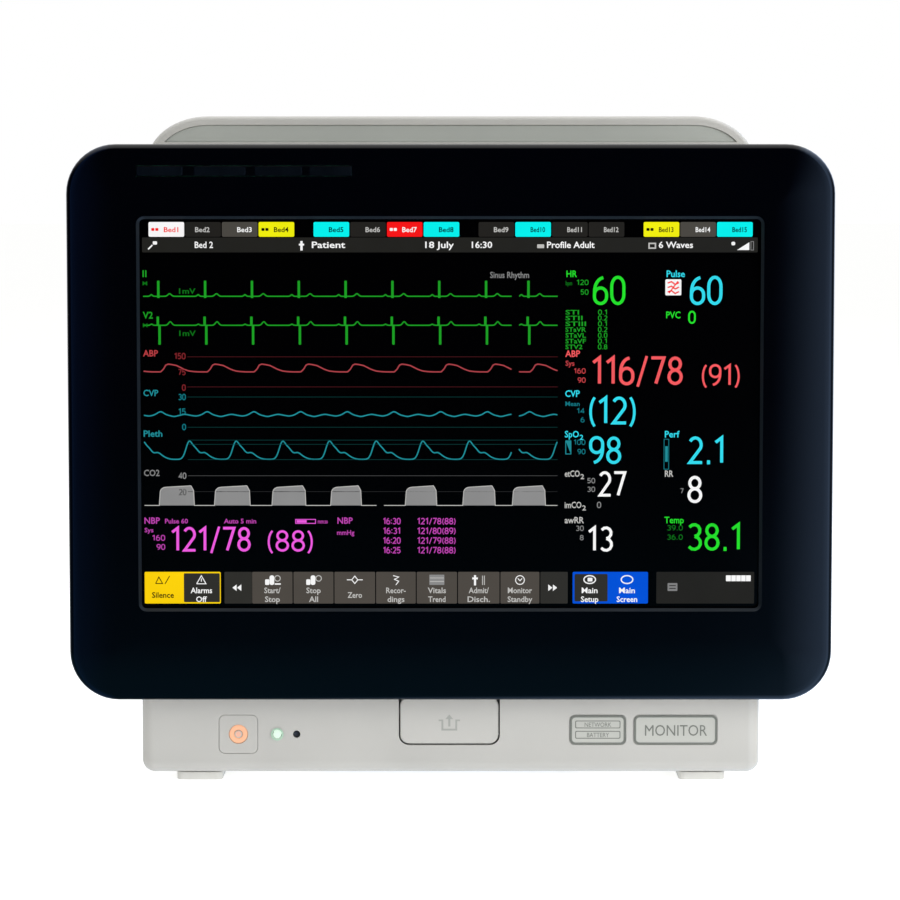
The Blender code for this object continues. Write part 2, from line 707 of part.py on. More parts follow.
def make_side_connectors():
    panel = block("connector_panel", PANEL_X, (56, 144), (58, 212))
    for name, (z, radius, bore, material) in PORTS.items():
        cut(panel, cylinder(name + "_way", (middle(PANEL_X), PORT_D, z), X, radius + GAP, 10, 24))
        port = cylinder(name, (-121.5, PORT_D, z), X, radius, 18, 24)
        join(port, cylinder(name + "_flange", (-131.75, PORT_D, z), X, radius + 2, 2.5, 24))
        if name == "nbp_connector":
            join(port, cylinder("hose_nipple", (-106, PORT_D, z), X, 2.6, 16, 12))
        cut(port, cylinder(name + "_bore", (-126.5, PORT_D, z), X, bore, 17, 20))
        finish(port, material)
    finish(panel, "panel")

    board = block("measurement_board", (-108, -106.4), (56, 144), (58, 212))
    cut(board, cylinder("nipple_way", (-107, PORT_D, PORTS["nbp_connector"][0]), X, 3.6, 8, 12))
    join(board, block("front_end_chip", (-106.8, -103), (68, 90), (160, 182)),
         block("isolation_block", (-106.8, -99), (115, 135), (70, 90)))
    finish(board, "board")


def make_socket(name, depth, hollows):
    """A socket body that passes through the bay's floor, with hollows open to the back."""
    x, z, half_x, half_z = SOCKETS[name]
    back = SOCKET_BAY["floor"] + 1.5
    body = block(name, around(x, half_x - GAP), (back - depth, back), around(z, half_z - GAP))
    for number, (off_x, off_z, wide, high, deep) in enumerate(hollows):
        span = (back - deep, back + 2)
        cut(body, block(f"{name}_hollow_{number}", around(x + off_x, wide / 2), span, around(z + off_z, high / 2)))
    return body


def make_rear_sockets():
    x, z, half_x, half_z = SOCKETS["ac_inlet"]
    inlet = make_socket("ac_inlet", 23, [])
    flange = (SOCKET_BAY["floor"] + GAP, SOCKET_BAY["floor"] + 3)
    join(inlet, tile("inlet_flange", around(x, half_x + 2.5), flange, around(z, half_z + 2.5), 3.0))
    cut(inlet, tile("inlet_hollow", around(x, 12), (165, 190), around(z, 8), 3.0))
    join(inlet, *[block(f"inlet_pin_{number}", around(x + off, 1.0), (164, 174), around(z, 2.0))
                  for number, off in enumerate((-7, 0, 7))])
    finish(inlet, "dark")
    finish(make_socket("lan_socket", 21, [(0, 0, 12, 10, 14)]), "steel")
    finish(make_socket("usb_socket", 18, [(0, -3.6, 12, 5.0, 13), (0, 3.6, 12, 5.0, 13)]), "steel")
    finish(make_socket("video_socket", 14, [(0, 0, 30, 8, 8)]), "steel")

    post = cylinder("earth_post", (EARTH_X, 176, EARTH_Z), D, 4.0, 12, 16)
    join(post, cylinder("earth_collar", (EARTH_X, 182.3, EARTH_Z), D, 6.0, 2.0, 6),
         cylinder("earth_pin", (EARTH_X, 184.2, EARTH_Z), D, 3.0, 5.0, 16))
    finish(post, "steel")


# ---------------------------------------------------------------- electronics

def make_chassis():
    plate = block("chassis_plate", (-124, 124), (42, 43.2), (38.4, 214))
    join(plate, block("chassis_foot", (-124, 124), (42, 100), (38.4, 39.6)))
    cut(plate, *[block(f"chassis_hole_{side}", around(side * 80, 25), (40, 46), (120, 190)) for side in (-1, 1)])
    finish(plate, "steel")


def make_electronics():
    board = block("main_board", (-98, 62), (50, 51.6), (60, 206))
    join(board, block("processor", (-22, 14), (51, 54.4), (136, 172)),
         block("memory", (26, 54), (51, 54), (140, 168)),
         block("board_socket", (-90, -70), (51, 58), (66, 76)),
         block("power_inductor", (20, 36), (51, 59), (76, 92)))
    finish(board, "board")

    sink = block("heat_sink", (-34, 26), (54.7, 58), (124, 184))
    fins = row_of_blocks("fins", (-34, -32), (57, 78), (124, 184), (8.2857, 0, 0), 8)
    finish(join(sink, fins), "aluminium")

    supply = block("power_supply", (-88, 50), (102, 157), (42, 92))
    cut(supply, row_of_blocks("supply_vents", (-78, -75), (110, 150), (88, 95), (9, 0, 0), 14))
    finish(supply, "aluminium")

    pump = cylinder("nbp_pump", (-45, 115, 130), Z, 15, 34, 24)
    join(pump, cylinder("pump_motor", (-45, 115, 155), Z, 12, 20, 24),
         block("pump_foot", (-62, -28), (104, 126), (108, 114)))
    finish(pump, "dark")
    valve = block("nbp_valve_block", (-94, -30), (98, 128), (172, 194))
    join(valve, cylinder("valve_coil", (-45, 113, 198), Z, 8, 12, 16), cylinder("valve_coil_2", (-68, 113, 198), Z, 8, 12, 16))
    finish(valve, "aluminium")
    hose = tube("nbp_hose", smooth_route([(-97.6, 100, 134), (-91, 100, 135), (-82, 102, 146),
                                          (-79, 106, 158), (-79, 108, 171.6)]), 3.0)
    finish(hose, "hose")

    x, z = SPEAKER
    speaker = cylinder("speaker", (x, 182.6, z), D, 18, 3.2, 32)
    join(speaker, cylinder("speaker_cone", (x, 177, z), D, 10, 10, 24, end_radius=17),
         cylinder("speaker_magnet", (x, 169, z), D, 12, 8, 24))
    finish(speaker, "dark")


# ---------------------------------------------------------------- assembly

empty_the_scene()
PARTS = add_collection("patient_monitor")
CUTTERS = add_collection("patient_monitor_cutters")
MATERIALS = add_materials()

make_front_bezel()
make_screen_stack()
make_alarm_lamps()
make_display_rear_shell()
make_rear_housing()
make_rear_screws()
make_carry_handle()
make_base_tray()
make_lamps_and_sensor()
make_power_button()
make_release()
make_mount_plate()
make_feet()
make_battery()
make_recorder()
make_side_connectors()
make_rear_sockets()
make_chassis()
make_electronics()
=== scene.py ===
"""Looks of the bedside patient monitor: fine shells, screen picture, sockets and materials.

Lengths are in millimetres and become metres where meshes are made. A place is (x, d, z): x to
the viewer's right, d the depth behind the bezel's front face, z the height above the floor.
"""
import json
import math

import bmesh
import bpy
from mathutils import Matrix, Vector

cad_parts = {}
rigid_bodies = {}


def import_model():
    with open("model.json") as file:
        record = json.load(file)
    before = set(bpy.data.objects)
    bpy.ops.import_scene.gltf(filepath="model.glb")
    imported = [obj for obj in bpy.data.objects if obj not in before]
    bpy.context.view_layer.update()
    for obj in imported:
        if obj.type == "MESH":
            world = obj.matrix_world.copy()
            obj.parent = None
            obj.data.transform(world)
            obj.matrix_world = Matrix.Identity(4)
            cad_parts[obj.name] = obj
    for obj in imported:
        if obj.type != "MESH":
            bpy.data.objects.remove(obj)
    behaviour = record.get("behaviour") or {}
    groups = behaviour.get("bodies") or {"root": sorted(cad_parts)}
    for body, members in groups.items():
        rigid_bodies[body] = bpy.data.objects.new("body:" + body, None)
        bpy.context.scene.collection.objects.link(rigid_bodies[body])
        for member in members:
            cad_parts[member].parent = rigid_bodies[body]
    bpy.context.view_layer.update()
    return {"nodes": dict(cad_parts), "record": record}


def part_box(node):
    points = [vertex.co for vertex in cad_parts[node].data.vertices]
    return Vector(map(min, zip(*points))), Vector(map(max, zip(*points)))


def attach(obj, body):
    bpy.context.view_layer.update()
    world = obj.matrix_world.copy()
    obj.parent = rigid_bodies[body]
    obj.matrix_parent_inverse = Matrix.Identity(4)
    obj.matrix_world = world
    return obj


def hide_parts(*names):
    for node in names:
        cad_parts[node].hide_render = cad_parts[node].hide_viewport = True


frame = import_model()

MM = 0.001
X, D, Z = 0, 1, 2
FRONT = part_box("front_bezel")[0].y / MM
MONITOR = "monitor"


# ---------------------------------------------------------------- places

def spans(node):
    """A CAD node's spans along x, d and z, in millimetres."""
    low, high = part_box(node)
    return (low.x / MM, high.x / MM), (low.y / MM - FRONT, high.y / MM - FRONT), (low.z / MM, high.z / MM)


def place(x, d, z):
    return Vector((x, d + FRONT, z)) * MM


def middle(span):
    return (span[0] + span[1]) / 2


def half(span):
    return (span[1] - span[0]) / 2


def around(centre, reach):
    return (centre - reach, centre + reach)


def grown(span, by):
    return (span[0] - by, span[1] + by)


# ---------------------------------------------------------------- mesh tools

def add_object(name, mesh, location=(0, 0, 0)):
    item = bpy.data.objects.new(name, mesh)
    item.location = location
    bpy.context.scene.collection.objects.link(item)
    return item


def mesh_from(bm, name):
    mesh = bpy.data.meshes.new(name)
    bm.to_mesh(mesh)
    bm.free()
    return mesh


def block(name, x, d, z):
    bm = bmesh.new()
    size = Vector((x[1] - x[0], d[1] - d[0], z[1] - z[0])) * MM
    bmesh.ops.create_cube(bm, size=1.0, matrix=Matrix.Diagonal((*size, 1.0)))
    return add_object(name, mesh_from(bm, name), place(middle(x), middle(d), middle(z)))


TURNS = {X: Matrix.Rotation(math.radians(90), 4, "Y"),
         D: Matrix.Rotation(math.radians(-90), 4, "X"),
         Z: Matrix.Identity(4)}


def cylinder(name, centre, axis, radius, length, sides=48, end_radius=None):
    bm = bmesh.new()
    bmesh.ops.create_cone(bm, cap_ends=True, segments=sides, radius1=radius * MM,
                          radius2=(radius if end_radius is None else end_radius) * MM,
                          depth=length * MM, matrix=TURNS[axis])
    return add_object(name, mesh_from(bm, name), place(*centre))


def runs_along(axis):
    def chosen(edge):
        run = edge.verts[1].co - edge.verts[0].co
        return abs(abs(run[axis]) - run.length) < 1e-7
    return chosen


def on_side(item, axis, sign):
    limit = max(sign * vert.co[axis] for vert in item.data.vertices)

    def chosen(edge):
        return all(sign * vert.co[axis] > limit - 1e-6 for vert in edge.verts)
    return chosen


def round_edges(item, radius, segments, chosen):
    bm = bmesh.new()
    bm.from_mesh(item.data)
    edges = [edge for edge in bm.edges if chosen(edge)]
    bmesh.ops.bevel(bm, geom=edges, offset=radius * MM, segments=segments, profile=0.5,
                    affect="EDGES", clamp_overlap=False)
    bm.to_mesh(item.data)
    bm.free()
    return item


def tile(name, x, d, z, corner, segments=6, axis=D):
    """A box whose four edges along one axis are rounded."""
    return round_edges(block(name, x, d, z), corner, segments, runs_along(axis))


def tapered_tile(name, x, d, z, corner, back_x, back_z, segments=12):
    """A rounded box whose back face has its own size."""
    item = tile(name, x, d, z, corner, segments)
    for vert in item.data.vertices:
        if vert.co.y > 0:
            vert.co.x *= half(back_x) / half(x)
            vert.co.z = vert.co.z * half(back_z) / half(z) + (middle(back_z) - middle(z)) * MM
    return item


def arc(cx, cz, rx, rz, start, stop, steps=7):
    """Points on a round stretch from one angle to another, in degrees."""
    angles = [math.radians(start + (stop - start) * step / steps) for step in range(steps + 1)]
    return [(cx + rx * math.cos(angle), cz + rz * math.sin(angle)) for angle in angles]


def rounded_outline(x, z, corner, steps=12):
    """A rounded rectangle's outline as (x, z) pairs."""
    outline = []
    for cx, cz, start in ((x[1] - corner, z[1] - corner, 0), (x[0] + corner, z[1] - corner, 90),
                          (x[0] + corner, z[0] + corner, 180), (x[1] - corner, z[0] + corner, 270)):
        outline += arc(cx, cz, corner, corner, start, start + 90, steps)
    return outline


def mirrored(outline):
    """An outline's right half followed by its left half."""
    return outline + [(-x, z) for x, z in reversed(outline)]


def add_prism(bm, front, back):
    """Two rings of as many vertices, closed and joined."""
    bm.faces.new(front)
    bm.faces.new(list(reversed(back)))
    for a in range(len(front)):
        b = (a + 1) % len(front)
        bm.faces.new((front[b], front[a], back[a], back[b]))


def prism(name, rings):
    bm = bmesh.new()
    add_prism(bm, *[[bm.verts.new(point) for point in ring] for ring in rings])
    bmesh.ops.recalc_face_normals(bm, faces=bm.faces)
    return add_object(name, mesh_from(bm, name))


def front_prism(name, outline, d):
    """An outline of (x, z) pairs, taken round once, extruded through a depth span."""
    return prism(name, [[place(x, depth, z) for x, z in outline] for depth in d])


def turned(name, centre, axis, profile, sides=48):
    """A closed ring profile of (radius, along) pairs turned about an axis through its centre."""
    bm = bmesh.new()
    rings = []
    for side in range(sides):
        angle = 2 * math.pi * side / sides
        rings.append([bm.verts.new(Vector((r * math.cos(angle), r * math.sin(angle), along)) * MM)
                      for r, along in profile])
    for side in range(sides):
        ring, following = rings[side], rings[(side + 1) % sides]
        for a in range(len(profile)):
            b = (a + 1) % len(profile)
            if profile[a][0] < 1e-6 and profile[b][0] < 1e-6:
                continue
            bm.faces.new((ring[a], following[a], following[b], ring[b]))
    bmesh.ops.remove_doubles(bm, verts=bm.verts, dist=1e-7)
    bmesh.ops.recalc_face_normals(bm, faces=bm.faces)
    bm.transform(TURNS[axis])
    return add_object(name, mesh_from(bm, name), place(*centre))


def apply_modifiers(item):
    bpy.context.view_layer.update()
    graph = bpy.context.evaluated_depsgraph_get()
    mesh = bpy.data.meshes.new_from_object(item.evaluated_get(graph))
    item.modifiers.clear()
    item.data = mesh
    return item


def combine(item, operation, tools):
    for tool in tools:
        boolean = item.modifiers.new(tool.name, "BOOLEAN")
        boolean.operation = operation
        boolean.solver = "EXACT"
        boolean.object = tool
    apply_modifiers(item)
    for tool in tools:
        bpy.data.objects.remove(tool)
    return item


def cut(item, *tools):
    return combine(item, "DIFFERENCE", tools)


def join(item, *tools):
    return combine(item, "UNION", tools)


def gather(name, items):
    """One object that holds several separate meshes."""
    bm = bmesh.new()
    for item in items:
        part = item.data.copy()
        part.transform(Matrix.Translation(item.location))
        bm.from_mesh(part)
        bpy.data.meshes.remove(part)
        bpy.data.objects.remove(item)
    return add_object(name, mesh_from(bm, name))


def bars(name, count, box):
    """Several blocks in one object, where box(step) gives the three spans of each."""
    return gather(name, [block(f"{name}_{step}", *box(step)) for step in range(count)])


FACE_SIZE = 1.36  # the built-in face's size over the height of its capitals


def lettering(name, text, size, **settings):
    """The mesh of a word in the built-in face."""
    curve = bpy.data.curves.new(name, "FONT")
    curve.body = text
    curve.size = size
    for key, value in settings.items():
        setattr(curve, key, value)
    holder = add_object(name + "_curve", curve)
    bpy.context.view_layer.update()
    mesh = bpy.data.meshes.new_from_object(holder.evaluated_get(bpy.context.evaluated_depsgraph_get()))
    bpy.data.objects.remove(holder)
    return mesh


def polish(item, width=0.3, segments=2, angle=32):
    """Rounds what edges are left sharp and shades the piece smoothly."""
    bevel = item.modifiers.new("fine_edges", "BEVEL")
    bevel.width = width * MM
    bevel.segments = segments
    bevel.limit_method = "ANGLE"
    bevel.angle_limit = math.radians(angle)
    bevel.use_clamp_overlap = True
    apply_modifiers(item)
    return shade(item)


def shade(item, angle=40):
    item.data.shade_smooth()
    item.data.set_sharp_from_angle(angle=math.radians(angle))
    normals = item.modifiers.new("even_shading", "WEIGHTED_NORMAL")
    normals.keep_sharp = True
    return item


def dress(item, material, body=MONITOR, replaces=()):
    """Gives a piece its material, its body and the CAD nodes that it stands for."""
    item.data.materials.clear()
    item.data.materials.append(MATERIALS[material])
    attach(item, body)
    if replaces:
        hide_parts(*replaces)
    return item


SLOTS = {entry["node"]: entry["material_slot"] for entry in frame["record"]["subparts"]}


def stand_in(item, material, node, body=MONITOR):
    """Dresses a piece that takes a CAD node's place."""
    return dress(item, material, body, [node])


def second_material(item, material, chosen):
    """Paints the faces that are chosen by their normal and centre."""
    item.data.materials.append(MATERIALS[material])
    for face in item.data.polygons:
        if chosen(face.normal, item.matrix_world @ face.center):
            face.material_index = 1


# ---------------------------------------------------------------- materials

def linear(*display):
    """Linear colour of a display colour given from 0 to 255."""
    return tuple((value / 255 / 12.92) if value < 10.3 else ((value / 255 + 0.055) / 1.055) ** 2.4
                 for value in display)


class Nodes:
    """A small helper that adds and links shader nodes."""

    def __init__(self, tree):
        self.tree = tree

    def add(self, kind, **settings):
        node = self.tree.nodes.new(kind)
        for key, value in settings.items():
            setattr(node, key, value)
        return node

    def link(self, source, target):
        self.tree.links.new(source, target)

    def noise(self, vector, scale, detail=2.0, roughness=0.5):
        node = self.add("ShaderNodeTexNoise")
        node.inputs["Scale"].default_value = scale
        node.inputs["Detail"].default_value = detail
        node.inputs["Roughness"].default_value = roughness
        self.link(vector, node.inputs["Vector"])
        return node.outputs["Fac"]

    def ranged(self, value, low, high, start=0.3, stop=0.7):
        node = self.add("ShaderNodeMapRange")
        node.inputs["From Min"].default_value = start
        node.inputs["From Max"].default_value = stop
        node.inputs["To Min"].default_value = low
        node.inputs["To Max"].default_value = high
        self.link(value, node.inputs["Value"])
        return node.outputs["Result"]

    def mix(self, factor, first, second):
        node = self.add("ShaderNodeMix", data_type="RGBA")
        for socket, value in ((node.inputs[6], first), (node.inputs[7], second)):
            if isinstance(value, tuple):
                socket.default_value = (*value, 1.0)
            else:
                self.link(value, socket)
        self.link(factor, node.inputs[0])
        return node.outputs[2]

    def bump(self, height, strength, distance, below=None):
        node = self.add("ShaderNodeBump")
        node.inputs["Strength"].default_value = strength
        node.inputs["Distance"].default_value = distance
        self.link(height, node.inputs["Height"])
        if below is not None:
            self.link(below, node.inputs["Normal"])
        return node.outputs["Normal"]


def new_material(name):
    material = bpy.data.materials.new(name)
    material.use_nodes = True
    nodes = Nodes(material.node_tree)
    shader = material.node_tree.nodes["Principled BSDF"]
    where = nodes.add("ShaderNodeTexCoord").outputs["Object"]
    return material, nodes, shader, where


def shaded(colour, by):
    return tuple(min(1.0, channel * by) for channel in colour)


GRAIN_SCALE = 1000.0 / 0.45


def moulded(name, colour, roughness, grain=0.25, spread=0.04, sheen=0.0, specular=0.5):
    """Moulded plastic: spark-eroded grain, slow colour drift, and edges rubbed a little lighter."""
    material, nodes, shader, where = new_material(name)
    drift = nodes.ranged(nodes.noise(where, 14.0, 3.0), 0.0, 1.0)
    base = nodes.mix(drift, shaded(colour, 1 - spread), shaded(colour, 1 + spread))
    edge = nodes.ranged(nodes.add("ShaderNodeNewGeometry").outputs["Pointiness"], 0.0, 0.35, 0.52, 0.62)
    nodes.link(nodes.mix(edge, base, shaded(colour, 1.12)), shader.inputs["Base Color"])
    gloss = nodes.ranged(nodes.noise(where, 55.0, 4.0), roughness - 0.06, roughness + 0.06)
    nodes.link(gloss, shader.inputs["Roughness"])
    fine = nodes.noise(where, GRAIN_SCALE, 2.0, 0.6)
    wave = nodes.bump(nodes.noise(where, 9.0, 1.0), 0.25, 0.0004)
    nodes.link(nodes.bump(fine, grain, 0.00005, wave), shader.inputs["Normal"])
    shader.inputs["Specular IOR Level"].default_value = specular
    if sheen:
        shader.inputs["Coat Weight"].default_value = sheen
        shader.inputs["Coat Roughness"].default_value = 0.12
    return material


def gloss_black(name, colour, roughness):
    """Piano-black plastic with faint wipe marks and a few dust specks."""
    material, nodes, shader, where = new_material(name)
    wipes = nodes.noise(where, 7.0, 6.0, 0.7)
    nodes.link(nodes.ranged(wipes, roughness - 0.02, roughness + 0.03), shader.inputs["Roughness"])
    dust = nodes.ranged(nodes.noise(where, 900.0, 1.0), 0.0, 1.0, 0.80, 0.86)
    nodes.link(nodes.mix(dust, colour, shaded(colour, 3.0)), shader.inputs["Base Color"])
    nodes.link(nodes.bump(nodes.noise(where, 28.0, 2.0), 0.06, 0.0003), shader.inputs["Normal"])
    return material


def metal(name, colour, roughness, scratch=0.2):
    """Bare or plated metal with fine drawn scratches and cloudy gloss."""
    material, nodes, shader, where = new_material(name)
    shader.inputs["Metallic"].default_value = 1.0
    stretch = nodes.add("ShaderNodeMapping")
    stretch.inputs["Scale"].default_value = (1.0, 1.0, 14.0)
    nodes.link(where, stretch.inputs["Vector"])
    lines = nodes.noise(stretch.outputs["Vector"], 260.0, 3.0)
    clouds = nodes.noise(where, 70.0, 4.0)
    nodes.link(nodes.mix(clouds, shaded(colour, 0.86), shaded(colour, 1.08)), shader.inputs["Base Color"])
    nodes.link(nodes.ranged(clouds, roughness - 0.08, roughness + 0.12), shader.inputs["Roughness"])
    nodes.link(nodes.bump(lines, scratch, 0.00004), shader.inputs["Normal"])
    return material


def rubber(name, colour, roughness=0.8):
    material, nodes, shader, where = new_material(name)
    clouds = nodes.ranged(nodes.noise(where, 40.0, 4.0), 0.0, 1.0)
    nodes.link(nodes.mix(clouds, shaded(colour, 0.9), shaded(colour, 1.1)), shader.inputs["Base Color"])
    gloss = nodes.ranged(nodes.noise(where, 120.0), roughness - 0.08, roughness + 0.08)
    nodes.link(gloss, shader.inputs["Roughness"])
    nodes.link(nodes.bump(nodes.noise(where, 1800.0), 0.35, 0.00006), shader.inputs["Normal"])
    return material


def board(name, colour):
    """A circuit board: solder mask over a pattern of tracks."""
    material, nodes, shader, where = new_material(name)
    tracks = nodes.add("ShaderNodeTexVoronoi", distance="MANHATTAN", feature="DISTANCE_TO_EDGE")
    tracks.inputs["Scale"].default_value = 240.0
    nodes.link(where, tracks.inputs["Vector"])
    line = nodes.ranged(tracks.outputs["Distance"], 1.0, 0.0, 0.04, 0.08)
    nodes.link(nodes.mix(line, colour, shaded(colour, 1.9)), shader.inputs["Base Color"])
    nodes.link(nodes.ranged(nodes.noise(where, 90.0), 0.35, 0.5), shader.inputs["Roughness"])
    nodes.link(nodes.bump(line, 0.3, 0.00008), shader.inputs["Normal"])
    return material


def glowing(name, colour, strength, body=(0.0, 0.0, 0.0), drift=0.04, roughness=0.35):
    """A lit surface whose brightness drifts a little."""
    material, nodes, shader, where = new_material(name)
    shader.inputs["Base Color"].default_value = (*body, 1.0)
    shader.inputs["Specular IOR Level"].default_value = 0.12
    shader.inputs["Emission Strength"].default_value = strength
    cloud = nodes.ranged(nodes.noise(where, 60.0, 2.0), 0.0, 1.0)
    light = nodes.mix(cloud, shaded(colour, 1 - drift), shaded(colour, 1 + drift))
    nodes.link(light, shader.inputs["Emission Color"])
    gloss = nodes.ranged(nodes.noise(where, 200.0), roughness - 0.03, roughness + 0.03)
    nodes.link(gloss, shader.inputs["Roughness"])
    return material


INKS = {  # display colours of the screen's picture
    "green": (36, 220, 42), "dull_green": (26, 150, 32), "dim_green": (12, 108, 20), "trace": (28, 154, 34),
    "red": (240, 88, 92), "dull_red": (184, 62, 66), "wave_red": (170, 66, 72), "dim_red": (70, 19, 23),
    "faint_red": (120, 34, 38), "cyan": (50, 216, 234), "teal": (32, 138, 148), "deep_teal": (18, 112, 122),
    "dim_teal": (6, 50, 48), "magenta": (236, 90, 222), "dull_magenta": (186, 68, 172),
    "white": (246, 246, 246), "pale": (190, 189, 186), "grey": (128, 128, 128), "dim_grey": (64, 64, 64),
    "faint_grey": (34, 34, 34), "fill_grey": (138, 138, 138), "black": (3, 3, 3), "bar": (34, 33, 29),
    "panel_grey": (34, 33, 29), "tile_dark": (34, 32, 28), "tile_grey": (74, 71, 65),
    "tile_white": (250, 248, 248), "tile_yellow": (240, 238, 8), "tile_cyan": (4, 240, 237),
    "tile_red": (246, 20, 20), "key_yellow": (252, 209, 4), "key_grey": (77, 72, 66),
    "key_dark": (47, 46, 42), "key_blue": (0, 81, 215),
}

MATERIALS = {
    "bezel": gloss_black("bezel_black", (0.0003, 0.0005, 0.0014), 0.07),
    "bezel_lip": moulded("bezel_lip", (0.006, 0.009, 0.012), 0.45, grain=0.05, specular=0.25),
    "lamp_strip": gloss_black("lamp_strip", (0.0004, 0.0006, 0.0014), 0.12),
    "lamp_window": moulded("lamp_window", (0.0012, 0.0022, 0.0038), 0.2, grain=0.05, spread=0.15),
    "glass": gloss_black("screen_glass", (0.0003, 0.0003, 0.0005), 0.06),
    "shell": moulded("housing_plastic", (0.565, 0.557, 0.528), 0.46),
    "button": moulded("button_plastic", (0.56, 0.552, 0.523), 0.42, grain=0.18),
    # grip insert grey: partly the insert's own darker plastic, partly painted shade for the handle's recess
    "grip": moulded("grip_plastic_and_painted_shade", (0.47, 0.49, 0.455), 0.6, grain=0.4),
    "dark_grip": moulded("catch_plastic", (0.22, 0.23, 0.23), 0.55, grain=0.4),
    "label": moulded("label_film", (0.545, 0.55, 0.51), 0.4, grain=0.08),
    "print": moulded("print_grey", (0.19, 0.20, 0.175), 0.5, grain=0.05),
    "faint_print": moulded("faint_print", (0.40, 0.41, 0.38), 0.5, grain=0.05),
    "foot": rubber("foot_rubber", (0.68, 0.675, 0.64), 0.7),
    "seal": rubber("seal_rubber", (0.02, 0.02, 0.02)),
    "hose": rubber("hose_rubber", (0.08, 0.09, 0.10), 0.7),
    "steel": metal("zinc_steel", (0.62, 0.63, 0.64), 0.34),
    "aluminium": metal("aluminium", (0.78, 0.79, 0.80), 0.42),
    "brass": metal("gold_contacts", (0.86, 0.62, 0.28), 0.3),
    "board": board("circuit_board", (0.018, 0.15, 0.075)),
    "dark": moulded("dark_plastic", (0.022, 0.022, 0.025), 0.5, grain=0.35),
    "panel": moulded("panel_plastic", (0.30, 0.32, 0.33), 0.5, grain=0.35),
    "blue": moulded("blue_socket", (0.02, 0.14, 0.48), 0.38, sheen=0.3),
    "red_socket": moulded("red_socket", (0.34, 0.014, 0.014), 0.38, sheen=0.3),
    "brown": moulded("brown_socket", (0.20, 0.08, 0.035), 0.38, sheen=0.3),
    "ecg": moulded("green_socket", (0.04, 0.30, 0.11), 0.38, sheen=0.3),
    "white_socket": moulded("white_socket", (0.52, 0.53, 0.52), 0.38, sheen=0.3),
    "paper": rubber("thermal_paper", (0.82, 0.81, 0.77), 0.88),
    "battery": moulded("battery_case", (0.10, 0.11, 0.125), 0.5),
    "amber": glowing("amber_ring", (0.82, 0.42, 0.25), 1.0, body=(0.22, 0.14, 0.10)),
    "amber_mark": glowing("amber_mark", (0.62, 0.30, 0.21), 1.0, body=(0.3, 0.22, 0.18)),
    "green_lamp": glowing("green_lamp", (0.80, 0.98, 0.84), 0.9, body=(0.1, 0.2, 0.12)),
    # painted light: green-tinted plain plastic that stands for the lamp's glow on the housing round it
    "painted_green_glow": moulded("painted_green_glow", (0.44, 0.66, 0.50), 0.4, grain=0.1),
}
assert not set(MATERIALS) & set(INKS)
for ink, colour in INKS.items():
    MATERIALS[ink] = glowing("ink_" + ink, linear(*colour), 1.0)

SLOT_LOOKS = {
    "gloss_black": "bezel", "smoked_lens": "lamp_strip", "touch_glass": "glass", "housing_grey": "shell",
    "grip_grey": "dark_grip", "label_grey": "label", "foot_rubber": "foot", "seal_rubber": "seal",
    "amber_light": "amber", "green_light": "green_lamp", "zinc_steel": "steel", "aluminium": "aluminium",
    "circuit_board": "board", "dark_plastic": "dark", "connector_panel": "panel", "blue_plastic": "blue",
    "red_plastic": "red_socket", "brown_plastic": "brown", "green_plastic": "ecg",
    "white_plastic": "white_socket", "paper": "paper", "hose_rubber": "hose", "battery_case": "battery",
}


def dress_cad_nodes():
    for name, slot in SLOTS.items():
        node = frame["nodes"][name]
        node.data.materials.clear()
        node.data.materials.append(MATERIALS[SLOT_LOOKS[slot]])


# ---------------------------------------------------------------- display unit

BEZEL_PLATE = 3.0
CROWN = {"reach": 27.0, "fall": 0.8, "rim": 2.4, "corner": 21.0, "relief": 0.3}
WINDOW_X, WINDOW_Z = (-132.1, 131.7), (77.0, 243.1)
LIP = 1.25


def crowned_slab(name, x, z, depth):
    """A rounded slab whose face falls back a little towards its edges."""
    reach, fall, rim = CROWN["reach"], CROWN["fall"], CROWN["rim"]

    def face_depth(inset):
        return fall * (1 - inset / reach) ** 2

    sections = [(0.0, depth)]
    edge = face_depth(rim)
    for step in range(7):
        turn = math.radians(15 * step)
        sections.append((rim * (1 - math.cos(turn)), edge + rim * (1 - math.sin(turn))))
    for step in range(1, 13):
        inset = rim + (reach - rim) * step / 12
        sections.append((inset, face_depth(inset)))
    bm = bmesh.new()
    loops = []
    for inset, d in sections:
        x_inset = inset + CROWN["relief"]
        outline = rounded_outline(grown(x, -x_inset), grown(z, -inset), max(1.5, CROWN["corner"] - inset))
        loops.append([bm.verts.new(place(px, d, pz)) for px, pz in outline])
    for first, second in zip(loops, loops[1:]):
        for a in range(len(first)):
            b = (a + 1) % len(first)
            bm.faces.new((first[a], first[b], second[b], second[a]))
    bm.faces.new(loops[0])
    bm.faces.new(loops[-1])
    bmesh.ops.recalc_face_normals(bm, faces=bm.faces)
    return add_object(name, mesh_from(bm, name))


